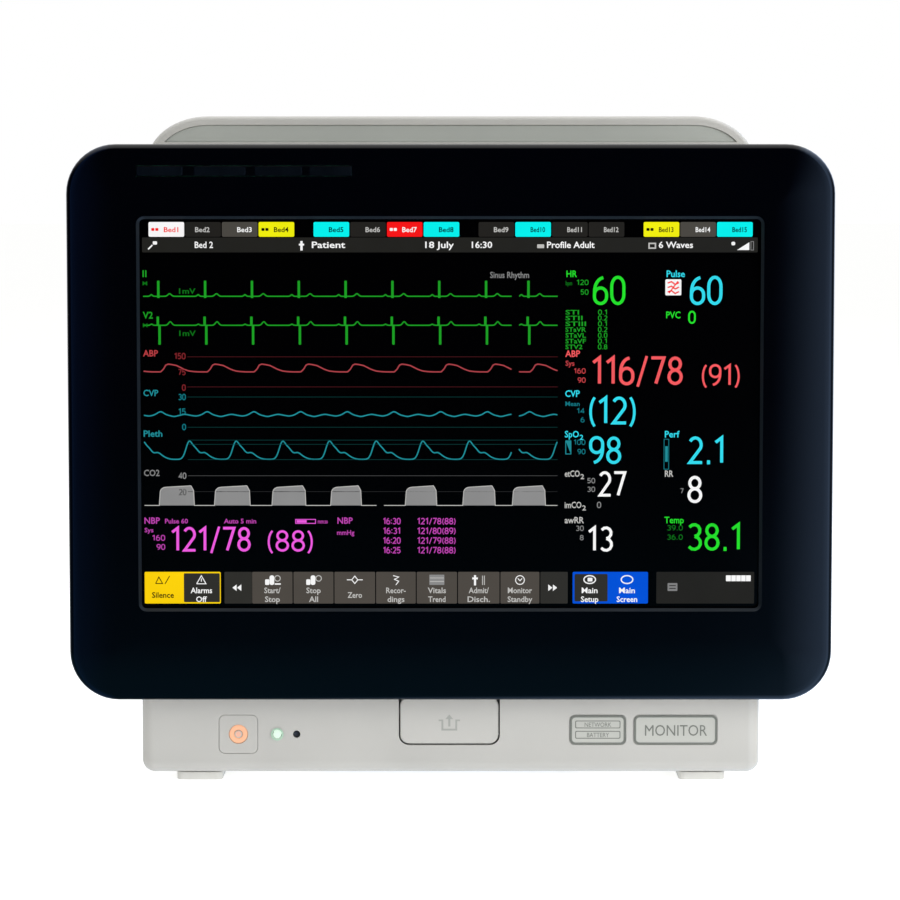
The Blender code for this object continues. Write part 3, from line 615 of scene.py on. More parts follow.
def make_bezel():
    x, d, z = spans("front_bezel")
    bezel = crowned_slab("bezel", x, z, d[1])
    hollow = tile("bezel_hollow", grown(x, -3), (BEZEL_PLATE, d[1] + 1), grown(z, -3), 18.0, 12)
    window = tile("window", WINDOW_X, (-1, BEZEL_PLATE + 1), WINDOW_Z, 2.0, 5)
    lip = tapered_tile("lip", grown(WINDOW_X, LIP + 0.3), (-0.3, LIP), grown(WINDOW_Z, LIP + 0.3), 3.4,
                       WINDOW_X, WINDOW_Z, 5)
    lens_x, _, lens_z = spans("alarm_lamp_lens")
    slot = block("slot", grown(lens_x, -1.6), (-1, BEZEL_PLATE + 1), grown(lens_z, -1.6))
    cut(bezel, hollow, window, lip, slot)
    shade(bezel, 25)
    stand_in(bezel, "bezel", "front_bezel")
    frame_x, frame_z = grown(WINDOW_X, LIP + 0.2), grown(WINDOW_Z, LIP + 0.2)

    def is_lip(normal, centre):
        inside = frame_x[0] < centre.x / MM < frame_x[1] and frame_z[0] < centre.z / MM < frame_z[1]
        return inside and -0.95 < normal.y < -0.2
    second_material(bezel, "bezel_lip", is_lip)


LAMP_TILES = ((0.0, 19.3), (24.5, 46.0), (50.2, 69.8), (73.2, 91.0))


def make_lamp_strip():
    x, _, z = spans("alarm_lamp_lens")
    x, z = grown(x, -2.0), grown(z, -2.0)
    strip = block("lamp_strip", x, (0.62, 4.0), z)
    stand_in(polish(strip, 0.15), "lamp_strip", "alarm_lamp_lens")
    tiles = [tile(f"window_{number_of}", (x[0] + start, x[0] + stop), (0.42, 0.75), grown(z, -0.2), 0.9, 4)
             for number_of, (start, stop) in enumerate(LAMP_TILES)]
    dress(polish(gather("lamp_windows", tiles), 0.1), "lamp_window")


def make_glass():
    x, d, z = spans("touch_glass")
    glass = block("screen_glass", x, d, z)
    stand_in(polish(glass, 0.2), "glass", "touch_glass")


def make_display_shell():
    x, d, z = spans("display_rear_shell")
    back_x, back_z = grown(x, -11.5), grown(z, -9.0)
    shell = tapered_tile("display_shell", x, d, z, 19.0, back_x, back_z)
    round_edges(shell, 5.0, 6, on_side(shell, D, 1))
    hollow = tapered_tile("shell_hollow", grown(x, -2), (d[0] - 1, d[1] - 2.5), grown(z, -2), 17.0,
                          grown(back_x, -3.5), grown(back_z, -3.5))
    window = block("shell_window", (-118, 118), (30, 40), (60, 215))
    cut(shell, hollow, window)
    stand_in(polish(shell, 0.3), "shell", "display_rear_shell")


# ---------------------------------------------------------------- screen picture

ACTIVE_WIDTH, ACTIVE_HEIGHT = 261.1, 163.2
SCREEN_LEFT = -ACTIVE_WIDTH / 2 - 0.7
SCREEN_TOP = middle(spans("touch_glass")[2]) + ACTIVE_HEIGHT / 2 + 0.5
SCREEN_D = spans("touch_glass")[1][0]
ROW_PITCH = 1.0033
LAYER = 0.06
picture = {}


def ink_mesh(colour):
    if colour not in picture:
        picture[colour] = bmesh.new()
    return picture[colour]


def on_screen(u, v, layer, back=False):
    """A point of the picture: u to the right, v down from the top left corner."""
    depth = SCREEN_D - LAYER * layer + (LAYER * 0.7 if back else 0.0)
    return place(SCREEN_LEFT + u, depth, SCREEN_TOP - v * ROW_PITCH)


def patch(outline, colour, layer=1):
    """A flat filled shape on the picture."""
    bm = ink_mesh(colour)
    add_prism(bm, *[[bm.verts.new(on_screen(u, v, layer, back)) for u, v in outline]
                    for back in (False, True)])


def box_patch(u, v, colour, layer=1, corner=0.5):
    patch(rounded_outline(u, v, corner, 3), colour, layer)


def ribbon(points, width, colour, layer=1, closed=False):
    """A line of even width through the points, with mitred corners."""
    bm = ink_mesh(colour)
    path = [Vector(point) for point in points]
    count = len(path)
    sections = []
    for index, here in enumerate(path):
        before = path[index - 1] if index or closed else None
        after = path[(index + 1) % count] if index < count - 1 or closed else None
        into = (here - before).normalized() if before is not None else (after - here).normalized()
        out = (after - here).normalized() if after is not None else into
        side_in, side_out = Vector((-into.y, into.x)), Vector((-out.y, out.x))
        mitre = side_in + side_out
        mitre = mitre.normalized() if mitre.length > 1e-6 else side_in
        reach = width / 2 / max(0.45, mitre.dot(side_in))
        ends = (here + mitre * reach, here - mitre * reach)
        sections.append([bm.verts.new(on_screen(end.x, end.y, layer, back))
                         for back in (False, True) for end in ends])
    last = count if closed else count - 1
    for index in range(last):
        a, b = sections[index], sections[(index + 1) % count]
        for first, second in ((0, 1), (1, 3), (3, 2), (2, 0)):
            bm.faces.new((a[first], a[second], b[second], b[first]))
    if not closed:
        bm.faces.new([sections[0][i] for i in (0, 2, 3, 1)])
        bm.faces.new([sections[-1][i] for i in (0, 1, 3, 2)])


def frame_line(u, v, width, colour, layer=1):
    ribbon([(u[0], v[0]), (u[1], v[0]), (u[1], v[1]), (u[0], v[1])], width, colour, layer, closed=True)


LOOP = arc(0.275, 0.64, 0.215, 0.31, 0, 180, 10) + arc(0.275, 0.36, 0.215, 0.31, 180, 360, 10)
BELLY = arc(0.275, 0.36, 0.215, 0.225, 0, 180, 9) + arc(0.275, 0.275, 0.215, 0.225, 180, 360, 9)
SIX_BACK = [(0.06, 0.31), (0.065, 0.50)] + arc(0.42, 0.50, 0.35, 0.44, 172, 98, 7)
GLYPHS = {  # strokes in a cell one high: (width, [(points, closed), ...])
    "0": (0.55, [(LOOP, True)]),
    "1": (0.42, [([(0.06, 0.78), (0.28, 0.945), (0.28, 0.06)], False)]),
    "2": (0.55, [(arc(0.265, 0.69, 0.21, 0.25, 150, -28, 9) + [(0.07, 0.062), (0.51, 0.062)], False)]),
    "3": (0.55, [(arc(0.255, 0.73, 0.205, 0.21, 145, -85), False),
                 (arc(0.255, 0.285, 0.225, 0.23, 85, -145), False)]),
    "4": (0.55, [([(0.38, 0.06), (0.38, 0.94), (0.05, 0.30), (0.52, 0.30)], False)]),
    "5": (0.55, [([(0.47, 0.94), (0.12, 0.94), (0.10, 0.54)] + arc(0.25, 0.33, 0.23, 0.27, 110, -145),
                  False)]),
    "6": (0.55, [(BELLY, True), (SIX_BACK, False)]),
    "7": (0.55, [([(0.05, 0.94), (0.49, 0.94), (0.21, 0.06)], False)]),
    "8": (0.55, [(arc(0.275, 0.73, 0.185, 0.205, 0, 354, 15), True),
                 (arc(0.275, 0.29, 0.215, 0.23, 0, 354, 15), True)]),
    "9": (0.55, [([(0.55 - u, 1 - w) for u, w in BELLY], True),
                 ([(0.55 - u, 1 - w) for u, w in SIX_BACK], False)]),
    "/": (0.42, [([(0.05, -0.05), (0.37, 1.0)], False)]),
    "(": (0.30, [(arc(0.44, 0.45, 0.33, 0.62, 125, 235), False)]),
    ")": (0.30, [(arc(-0.14, 0.45, 0.33, 0.62, 55, -55), False)]),
    ".": (0.26, [([(0.13, 0.0), (0.13, 0.14)], False)]),
    ":": (0.26, [([(0.13, 0.12), (0.13, 0.26)], False), ([(0.13, 0.6), (0.13, 0.74)], False)]),
    " ": (0.4, []),
}
THIN_SIGNS = "()/"
SPACING = 0.06


def number(text, u, v, colour, weight=0.108, layer=1):
    """Digits fitted between two ends along u and v."""
    total = sum(GLYPHS[sign][0] for sign in text) + SPACING * (len(text) - 1)
    tall = v[1] - v[0]
    wide = (u[1] - u[0]) / total
    cursor = u[0]
    for sign in text:
        width, strokes = GLYPHS[sign]
        for points, closed in strokes:
            line = [(cursor + x * wide, v[1] - z * tall) for x, z in points]
            ribbon(line, weight * tall * (0.85 if sign in THIN_SIGNS else 1.0), colour, layer, closed)
        cursor += (width + SPACING) * wide


def words(text, u, v, height, colour, layer=1):
    """A short generic word in the built-in face, fitted between two ends along u."""
    flat = lettering("words", text, height * FACE_SIZE, offset=height * 0.022, resolution_u=2)
    bm = ink_mesh(colour)
    corners = [vert.co.copy() for vert in flat.vertices]
    start = min(corner.x for corner in corners)
    squeeze = (u[1] - u[0]) / (max(corner.x for corner in corners) - start)
    places = [(u[0] + (corner.x - start) * squeeze, v + height - corner.y) for corner in corners]
    front, behind = [[bm.verts.new(on_screen(*point, layer, back)) for point in places]
                     for back in (False, True)]
    open_edges = set()
    for face in flat.polygons:
        ring = list(face.vertices)
        bm.faces.new([front[index] for index in ring])
        bm.faces.new([behind[index] for index in reversed(ring)])
        for a, b in zip(ring, ring[1:] + ring[:1]):
            if (b, a) in open_edges:
                open_edges.remove((b, a))
            else:
                open_edges.add((a, b))
    for a, b in sorted(open_edges):
        bm.faces.new((front[b], front[a], behind[a], behind[b]))
    bpy.data.meshes.remove(flat)


def centred(centre, width):
    return around(centre, width / 2)


TILE_ROW = (0.35, 6.6)
TILE_WIDTH, TILE_PITCH, TILE_GROUP = 15.15, 15.6, 70.15
TILE_COLOURS = (("tile_white", "tile_dark", "tile_grey", "tile_yellow"),
                ("tile_cyan", "tile_dark", "tile_red", "tile_cyan"),
                ("tile_dark", "tile_cyan", "tile_dark", "tile_dark"),
                ("tile_yellow", "tile_grey", "tile_cyan"))
ON_TILE = {"tile_white": "tile_red", "tile_dark": "pale", "tile_grey": "white", "tile_yellow": "black",
           "tile_cyan": "black", "tile_red": "white"}


def draw_tiles():
    bed = 0
    for group, colours in enumerate(TILE_COLOURS):
        for index, colour in enumerate(colours):
            bed += 1
            left = 2.8 + TILE_GROUP * group + TILE_PITCH * index
            box_patch((left, left + TILE_WIDTH), TILE_ROW, colour, corner=0.6)
            start = 4.2 if bed == 2 else 6.5
            words(f"Bed{bed}", (left + start, left + start + 6.2), 2.4, 2.2, ON_TILE[colour], layer=2)
            if colour in ("tile_white", "tile_red", "tile_yellow"):
                for step in (0, 1):
                    mark = left + 1.2 + 1.7 * step
                    box_patch((mark, mark + 1.3), (2.9, 4.1), ON_TILE[colour], layer=2, corner=0.2)


HEADER_WORDS = (("Bed 2", (22.4, 30.2)), ("Patient", (72.2, 86.4)), ("18 July", (120.4, 132.6)),
                ("16:30", (140.2, 148.9)), ("Profile Adult", (172.2, 192.4)), ("6 Waves", (219.7, 234.3)))


def draw_header():
    box_patch((0.0, ACTIVE_WIDTH + 0.7), (6.9, 13.2), "bar", corner=0.3)
    for text, u in HEADER_WORDS:
        words(text, u, 8.5, 2.8, "white", layer=2)
    for stroke, width in (([(67.8, 8.4), (67.8, 12.4)], 1.0), ([(66.7, 9.9), (68.9, 9.9)], 0.8),
                          ([(2.6, 11.9), (4.4, 10.1)], 0.6)):
        ribbon(stroke, width, "white", layer=2)
    patch([(253.0, 12.2), (258.2, 12.2), (258.2, 8.9)], "white", layer=2)
    for u, v, colour, corner in (((4.6, 6.4), (8.5, 9.9), "white", 0.3),
                                 ((250.6, 252.2), (8.7, 10.2), "white", 0.5),
                                 ((168.0, 171.0), (9.8, 11.4), "pale", 0.3)):
        box_patch(u, v, colour, layer=2, corner=corner)
    frame_line((258.9, 260.0), (8.6, 12.2), 0.3, "grey", layer=2)
    frame_line((215.6, 218.3), (9.4, 11.4), 0.6, "pale", layer=2)


WAVES_END = 176.9
SWEEP_GAP = (157.2, 160.4)
SWEEP_SHIFT = -1.9
BEAT = 19.93
FIRST_BEAT = 6.8


def bump_shape(phase, centre, width, height):
    away = (phase - centre) / width
    return height * math.exp(-away * away)


def bumps(*shapes):
    """A wave made of smooth bumps, each given by its centre, width and height."""
    return lambda phase: sum(bump_shape(phase, *shape) for shape in shapes)


LEAD_ONE = bumps((-0.15, 0.03, 0.7), (0.24, 0.05, 1.1))
LEAD_TWO = bumps((-0.15, 0.03, 0.5), (0.25, 0.05, 1.5))
VENOUS = bumps((0.03, 0.10, 1.5), (0.32, 0.09, -0.5), (0.55, 0.09, 0.4), (0.78, 0.08, -0.3))
PLETHYSMIC = bumps((0.02, 0.10, 7.4), (0.16, 0.09, 3.6), (0.34, 0.12, 2.8), (0.5, 0.10, 0.5))


def rise_and_fall(phase, corners):
    """A height read off straight runs between (phase, height) corners."""
    for (start, low), (stop, high) in zip(corners, corners[1:]):
        if start <= phase <= stop:
            return low + (high - low) * (phase - start) / (stop - start)
    return 0.0


PRESSURE = ((0.08, 0.0), (0.14, 1.2), (0.19, 2.9), (0.24, 3.3), (0.32, 3.1), (0.42, 2.7), (0.5, 1.9),
            (0.58, 1.1), (0.68, 0.4), (0.8, 0.1), (0.9, 0.0))


def arterial(phase):
    return rise_and_fall(phase, PRESSURE)


def draw_wave(shape, baseline, colour, start=FIRST_BEAT, width=0.52, step=0.21):
    """A repeating wave, drawn up to the sweep's gap and on after it."""
    for left, right, shift in ((0.3, SWEEP_GAP[0], 0.0), (SWEEP_GAP[1], WAVES_END, SWEEP_SHIFT)):
        points = []
        for index in range(int((right - left) / step) + 1):
            u = left + index * step
            beats = (u - start - shift) / BEAT
            phase = beats - math.floor(beats)
            height = shape(phase) + shape(phase - 1.0) + shape(phase + 1.0)
            points.append((u, baseline - height))
        ribbon(points, width, colour)


CO2_BREATHS = ((6.6, 15.0), (30.2, 15.3), (54.8, 14.5), (79.9, 13.2), (111.8, 13.5), (136.4, 13.9),
               (157.6, 14.2))
CO2_TOP, CO2_BASE = 112.9, 120.9


def draw_breaths():
    line = [(0.3, CO2_BASE)]
    for number_of, (left, width) in enumerate(CO2_BREATHS):
        right = left + width
        shape = [(left, CO2_BASE)] + arc(left + 3.0, CO2_TOP + 2.4, 2.6, 2.2, 190, 270, 4)
        shape += [(right - 1.4, CO2_TOP - 0.4), (right - 0.3, CO2_TOP + 1.6), (right, CO2_BASE)]
        patch(shape, "fill_grey")
        if number_of == 4:
            ribbon(line + [(99.5, CO2_BASE)], 0.3, "pale", layer=2)
            line = [(102.7, CO2_BASE)]
        line += shape
    ribbon(line + [(WAVES_END, CO2_BASE)], 0.3, "pale", layer=2)


def scale_lines(rows, colour, labels=(), ink=None):
    for row in rows:
        ribbon([(18.9, row), (WAVES_END, row)], 0.26, colour)
    for text, row in labels:
        number(text, (18.2 - 1.6 * len(text), 18.2), (row - 1.3, row + 1.3), ink or colour, weight=0.17)


def draw_spikes(baseline, runs, colour="trace", width=1.05):
    """The sharp part of each beat: (shift, height above the baseline, height below it) bars."""
    beats = [FIRST_BEAT + BEAT * index for index in range(8)] + [FIRST_BEAT + SWEEP_SHIFT + BEAT * 8]
    for beat in beats:
        for shift, above, below in runs:
            u = beat + shift
            ribbon([(u, baseline - above), (u, baseline + below)], width, colour, layer=2)


def draw_waves():
    draw_wave(LEAD_ONE, 31.8, "trace")
    draw_spikes(31.8, ((0.0, 6.6, 0.7),))
    draw_wave(LEAD_TWO, 44.1, "trace")
    draw_spikes(44.1, ((-0.3, 3.7, 0.0), (0.4, 0.0, 8.2)))
    scale_lines((57.5, 70.3), "dim_red", (("150", 57.2), ("75", 64.0), ("0", 70.6)), "faint_red")
    draw_wave(arterial, 63.9, "wave_red", start=6.0)
    scale_lines((74.6, 87.5), "dim_teal", (("30", 74.6), ("15", 80.8), ("0", 87.4)), "deep_teal")
    draw_wave(VENOUS, 82.4, "teal")
    scale_lines((93.0, 94.8, 101.3), "dim_teal")
    draw_wave(PLETHYSMIC, 101.2, "teal", start=-0.8)
    scale_lines((108.2,), "dim_grey", (("40", 108.2),), "grey")
    scale_lines((115.0,), "faint_grey", (("20", 115.2),), "dim_grey")
    draw_breaths()


SCREEN_WORDS = (  # colour and height, then each word with its left end, right end and top
    ("trace", 3.0, ("II", 0.1, 1.8, 20.6), ("V2", 0.1, 4.4, 38.2)),
    ("dim_green", 1.7, ("M", 0.1, 2.1, 25.4), ("M", 0.1, 2.1, 43.2)),
    ("dim_green", 2.4, ("1mV", 15.6, 22.6, 28.3), ("1mV", 15.6, 22.6, 46.2)),
    ("grey", 2.7, ("Sinus Rhythm", 148.0, 164.6, 21.3)),
    ("dull_red", 2.8, ("ABP", 0.1, 6.5, 54.5)),
    ("teal", 2.8, ("CVP", 0.1, 6.5, 71.4), ("Pleth", 0.1, 8.1, 88.7)),
    ("grey", 2.8, ("CO2", 0.1, 6.8, 105.5)),
    ("dull_magenta", 2.8, ("NBP", 0.2, 6.8, 125.9), ("NBP", 82.8, 89.3, 125.9)),
    ("dull_magenta", 2.1, ("Pulse 60", 9.0, 18.8, 126.5), ("Auto 5 min", 34.2, 48.0, 126.5),
     ("mmHg", 82.6, 90.0, 131.4)),
    ("dull_magenta", 2.0, ("Sys", 0.2, 4.0, 130.4)),
    ("dull_magenta", 1.9, ("mm:ss", 74.4, 78.6, 126.7)),
    ("green", 2.9, ("HR", 180.5, 185.0, 20.7), ("Temp", 222.7, 231.0, 125.6)),
    ("dim_green", 1.9, ("bpm", 180.2, 182.9, 25.2)),
    ("green", 3.0, ("PVC", 223.0, 229.1, 38.1)),
    ("red", 2.9, ("ABP", 180.1, 186.4, 54.6)),
    ("dull_red", 2.3, ("Sys", 180.2, 184.0, 59.0)),
    ("cyan", 2.9, ("Pulse", 223.1, 230.9, 20.7), ("CVP", 180.1, 186.3, 71.6), ("SpO", 180.0, 186.0, 88.9),
     ("Perf", 222.7, 229.0, 88.9)),
    ("cyan", 2.2, ("2", 186.3, 187.9, 90.6)),
    ("deep_teal", 2.0, ("Mean", 180.2, 186.3, 76.4)),
    ("pale", 2.8, ("etCO", 180.0, 186.4, 105.8), ("RR", 222.8, 226.4, 105.8), ("imCO", 180.0, 187.2, 119.2),
     ("awRR", 180.0, 188.3, 125.7)),
    ("pale", 2.2, ("2", 186.7, 188.3, 107.4), ("2", 187.5, 189.1, 120.8)),
)
BOLD, SLIGHT, PLAIN = 0.16, 0.14, 0.108
READINGS = (  # colour and stroke, then each number with its ends along u and along v
    ("dull_magenta", BOLD, ("160", (3.4, 9.0), (133.6, 136.0)), ("90", (5.3, 9.0), (137.5, 139.9))),
    ("magenta", PLAIN, ("121/78", (11.4, 45.7), (130.0, 140.8)), ("(88)", (52.1, 73.0), (131.4, 140.8))),
    ("green", PLAIN, ("60", (191.7, 205.7), (23.1, 35.5)), ("38.1", (232.4, 256.1), (128.4, 140.4))),
    ("green", SLIGHT, ("0", (232.4, 235.6), (38.0, 43.4))),
    ("red", PLAIN, ("116/78", (191.3, 230.3), (57.2, 69.6)), ("(91)", (237.7, 255.2), (60.6, 70.0))),
    ("cyan", PLAIN, ("60", (233.0, 247.0), (23.1, 35.5)), ("(12)", (189.6, 211.0), (74.3, 86.4)),
     ("98", (190.3, 204.2), (91.3, 103.3)), ("2.1", (232.6, 248.7), (91.3, 103.3))),
    ("white", PLAIN, ("27", (194.4, 206.3), (106.2, 117.2)), ("8", (232.4, 238.9), (108.1, 120.0)),
     ("13", (189.8, 200.9), (129.8, 140.8))),
    ("grey", BOLD, ("7", (229.4, 230.8), (113.6, 115.8)), ("0", (193.8, 195.6), (119.4, 122.0))),
)
LIMITS = (  # colour, right end, then upper and lower limit with their tops
    ("dull_green", 189.9, (("120", 24.8), ("50", 28.9))),
    ("dull_red", 188.8, (("160", 62.4), ("90", 66.3))),
    ("deep_teal", 188.4, (("14", 79.4), ("6", 83.2))),
    ("deep_teal", 188.8, (("100", 92.8), ("90", 96.8))),
    ("grey", 193.0, (("50", 109.2), ("30", 112.9))),
    ("grey", 188.2, (("30", 129.6), ("8", 133.6))),
    ("dim_green", 230.6, (("39.0", 129.4), ("36.0", 133.4))),
)
LAST_PRESSURES = (("16:30", "121/78(88)"), ("16:31", "121/80(89)"), ("16:20", "121/79(88)"),
                  ("16:25", "121/78(88)"))
ST_ROWS = (("I", "0.1"), ("II", "0.2"), ("III", "0.1"), ("aVR", "0.2"), ("aVL", "0.0"), ("aVF", "0.1"),
           ("V2", "0.8"))


def draw_readings():
    for colour, height, *entries in SCREEN_WORDS:
        for text, left, right, top in entries:
            words(text, (left, right), top, height, colour)
    for colour, weight, *entries in READINGS:
        for text, u, v in entries:
            number(text, u, v, colour, weight)
    for colour, right, rows in LIMITS:
        for text, top in rows:
            number(text, (right - 1.7 * len(text), right), (top, top + 2.2), colour, BOLD)
    for row, (time, reading) in enumerate(LAST_PRESSURES):
        top = 126.3 + 4.15 * row
        number(time, (102.3, 109.8), (top, top + 2.7), "dull_magenta", BOLD)
        number(reading, (116.9, 133.5), (top, top + 2.7), "dull_magenta", BOLD)
    for row, (lead, reading) in enumerate(ST_ROWS):
        top = 37.5 + 2.45 * row
        words("ST" + lead, (180.1, 184.4 + 1.5 * len(lead)), top, 2.0, "dull_green")
        number(reading, (194.0, 198.0), (top, top + 2.1), "dull_green", BOLD)


def draw_gauges():
    """The small pictures beside the readings."""
    frame_line((64.9, 73.4), (126.9, 128.6), 0.3, "magenta")
    box_patch((65.3, 69.6), (127.2, 128.3), "magenta", layer=2, corner=0.1)
    box_patch((222.6, 229.4), (24.6, 31.4), "white", corner=0.5)
    for row in range(3):
        lift = 1.9 * row
        ribbon([(223.6, 26.2 + lift), (225.2, 25.6 + lift), (226.8, 26.8 + lift), (228.4, 26.0 + lift)],
               0.55, "tile_red", layer=2)
    ribbon([(224.2, 30.4), (228.0, 25.4)], 0.5, "tile_red", layer=2)
    frame_line((180.4, 182.6), (93.3, 98.9), 0.35, "teal")
    patch([(180.4, 93.4), (182.6, 93.4), (182.6, 98.9)], "teal")
    frame_line((222.4, 224.4), (92.6, 105.4), 0.3, "deep_teal")
    box_patch((222.9, 224.0), (95.6, 102.2), "teal", corner=0.1)


KEY_ROW = (149.4, 163.0)
KEY_WORDS = ((("Start/", 7.0), ("Stop", 6.4)), (("Stop", 6.2), ("All", 3.9)), (("Zero", 6.2),),
             (("Recor-", 8.4), ("dings", 7.3)), (("Vitals", 7.8), ("Trend", 7.4)),
             (("Admit/", 8.6), ("Disch.", 9.6)), (("Monitor", 10.4), ("Standby", 10.6)))
KEY_STEPS = (46.2, 63.9, 81.45, 99.3, 116.7, 134.4, 152.6, 169.7)


def key_words(lines, centre, colour):
    tops = (158.0,) if len(lines) == 1 else (156.0, 159.8)
    for (text, width), top in zip(lines, tops):
        words(text, centred(centre, width), top, 2.5, colour, layer=3)


def icon_ring(u, v, radius, colour):
    ribbon(arc(u, v, radius, radius, 0, 340, 14), 0.36, colour, layer=3, closed=True)


def icon_lines(centre, colour, *strokes):
    for stroke in strokes:
        ribbon([(centre + u, v) for u, v in stroke], 0.36, colour, layer=3)


def draw_key_icon(index, centre):
    if index in (0, 1):
        box_patch(centred(centre - 2.2, 1.8), (152.6, 155.0), "white", layer=3, corner=0.4)
        box_patch(centred(centre - 0.2, 2.0), (150.9, 155.0), "white", layer=3, corner=0.8)
        icon_ring(centre + 2.2, 152.2, 1.2, "pale")
        if index == 0:
            ribbon([(centre + 1.0, 154.6), (centre + 3.6, 154.6)], 0.6, "white", layer=3)
    elif index == 2:
        icon_lines(centre, "white", [(-3.4, 152.8), (-1.3, 152.8)], [(1.3, 152.8), (3.4, 152.8)],
                   [(-1.3, 152.8), (0, 151.2), (1.3, 152.8), (0, 154.4), (-1.3, 152.8)])
    elif index == 3:
        icon_lines(centre, "white",
                   [(-1.2, 151.0), (1.2, 151.6), (-0.6, 152.6), (1.2, 153.4), (0.0, 155.0)])
    elif index == 4:
        box_patch(centred(centre, 6.4), (150.6, 155.0), "fill_grey", layer=3, corner=0.2)
        for row in range(2):
            line = 152.0 + 1.5 * row
            ribbon([(centre - 3.0, line), (centre + 3.0, line)], 0.3, "pale", layer=4)
    elif index == 5:
        ribbon([(centre - 1.6, 150.8), (centre - 1.6, 155.2)], 0.9, "white", layer=3)
        ribbon([(centre - 2.8, 152.2), (centre - 0.4, 152.2)], 0.8, "white", layer=3)
        icon_lines(centre, "pale", [(1.6, 151.0), (1.6, 155.0)], [(2.4, 151.0), (2.4, 155.0)])
    else:
        icon_ring(centre, 152.9, 1.9, "white")
        icon_lines(centre, "white", [(-0.9, 152.2), (0.0, 153.2), (0.9, 152.2)])


def draw_keys():
    top, bottom = KEY_ROW
    box_patch((0.1, 32.7), KEY_ROW, "key_yellow", corner=0.5)
    key_words((("Silence", 9.4),), 7.9, "black")
    icon_lines(7.6, "black", [(-2.8, 154.4), (-1.4, 151.6), (0.2, 154.4), (-2.8, 154.4)],
               [(1.2, 154.6), (3.2, 151.2)])
    box_patch((16.9, 32.3), (top + 0.6, bottom - 0.6), "key_dark", layer=2, corner=0.4)
    key_words((("Alarms", 9.2), ("Off", 4.6)), 24.4, "white")
    icon_lines(24.4, "white", [(-2.0, 154.5), (0.0, 151.0), (2.0, 154.5), (-2.0, 154.5)],
               [(0.0, 152.2), (0.0, 153.6)])

    for u, turn in (((34.3, 46.1), -1), ((169.7, 181.4), 1)):
        box_patch(u, KEY_ROW, "key_dark", corner=0.4)
        for step in (-1.0, 1.0):
            centre = middle(u) - 0.6 + step
            base, tip = centre - 0.9 * turn, centre + 0.9 * turn
            patch([(base, 154.8), (tip, 156.2), (base, 157.6)][::turn], "white", layer=3)

    for index, lines in enumerate(KEY_WORDS):
        left, right = KEY_STEPS[index], KEY_STEPS[index + 1] - 0.45
        box_patch((left, right), KEY_ROW, "key_grey", corner=0.4)
        key_words(lines, (left + right) / 2, "pale")
        draw_key_icon(index, (left + right) / 2)

    box_patch((183.5, 215.8), KEY_ROW, "key_blue", corner=0.5)
    box_patch((184.3, 198.5), (top + 0.9, bottom - 0.9), "key_dark", layer=2, corner=0.5)
    key_words((("Main", 6.8), ("Setup", 7.5)), 190.8, "white")
    key_words((("Main", 6.8), ("Screen", 8.8)), 206.8, "white")
    for centre in (190.8, 206.8):
        ribbon(arc(centre, 152.7, 2.5, 1.7, 0, 345, 16), 0.5, "white", layer=3, closed=True)
    box_patch((189.9, 192.0), (151.9, 153.5), "white", layer=3, corner=0.3)

    box_patch((219.4, 261.3), KEY_ROW, "panel_grey", corner=0.4)
    box_patch((224.2, 228.4), (154.2, 157.6), "grey", layer=2, corner=0.3)
    icon_lines(226.3, "panel_grey", [(-1.4, 155.3), (1.4, 155.3)], [(-1.4, 156.5), (1.4, 156.5)])
    box_patch((249.2, 259.8), (150.9, 153.4), "white", layer=2, corner=0.2)
    for step in range(4):
        ribbon([(251.4 + 2.1 * step, 150.9), (251.4 + 2.1 * step, 153.4)], 0.25, "fill_grey", layer=3)


def make_picture():
    draw_tiles()
    draw_header()
    draw_waves()
    draw_readings()
    draw_gauges()
    draw_keys()
    for colour, bm in picture.items():
        bmesh.ops.recalc_face_normals(bm, faces=bm.faces)
        dress(add_object("picture_" + colour, mesh_from(bm, colour)), colour)


# ---------------------------------------------------------------- casing

WALL = 2.5
BAY_X, BAY_Z, BAY_FLOOR = (-122.0, 78.0), (45.0, 86.0), 181.0
REAR_WALL = (180, 190)
VENTS = {"first": -93.0, "pitch": 11.0, "count": 18, "width": 3.0}
SCREWS = ["rear_screw_1", "rear_screw_2", "rear_screw_3", "rear_screw_4"]


def vent_row(name, d, z, axis):
    slots = []
    for index in range(VENTS["count"]):
        x = VENTS["first"] + VENTS["pitch"] * index
        slots.append(tile(f"{name}_{index}", around(x, VENTS["width"] / 2), d, z, 1.45, 4, axis))
    return gather(name, slots)


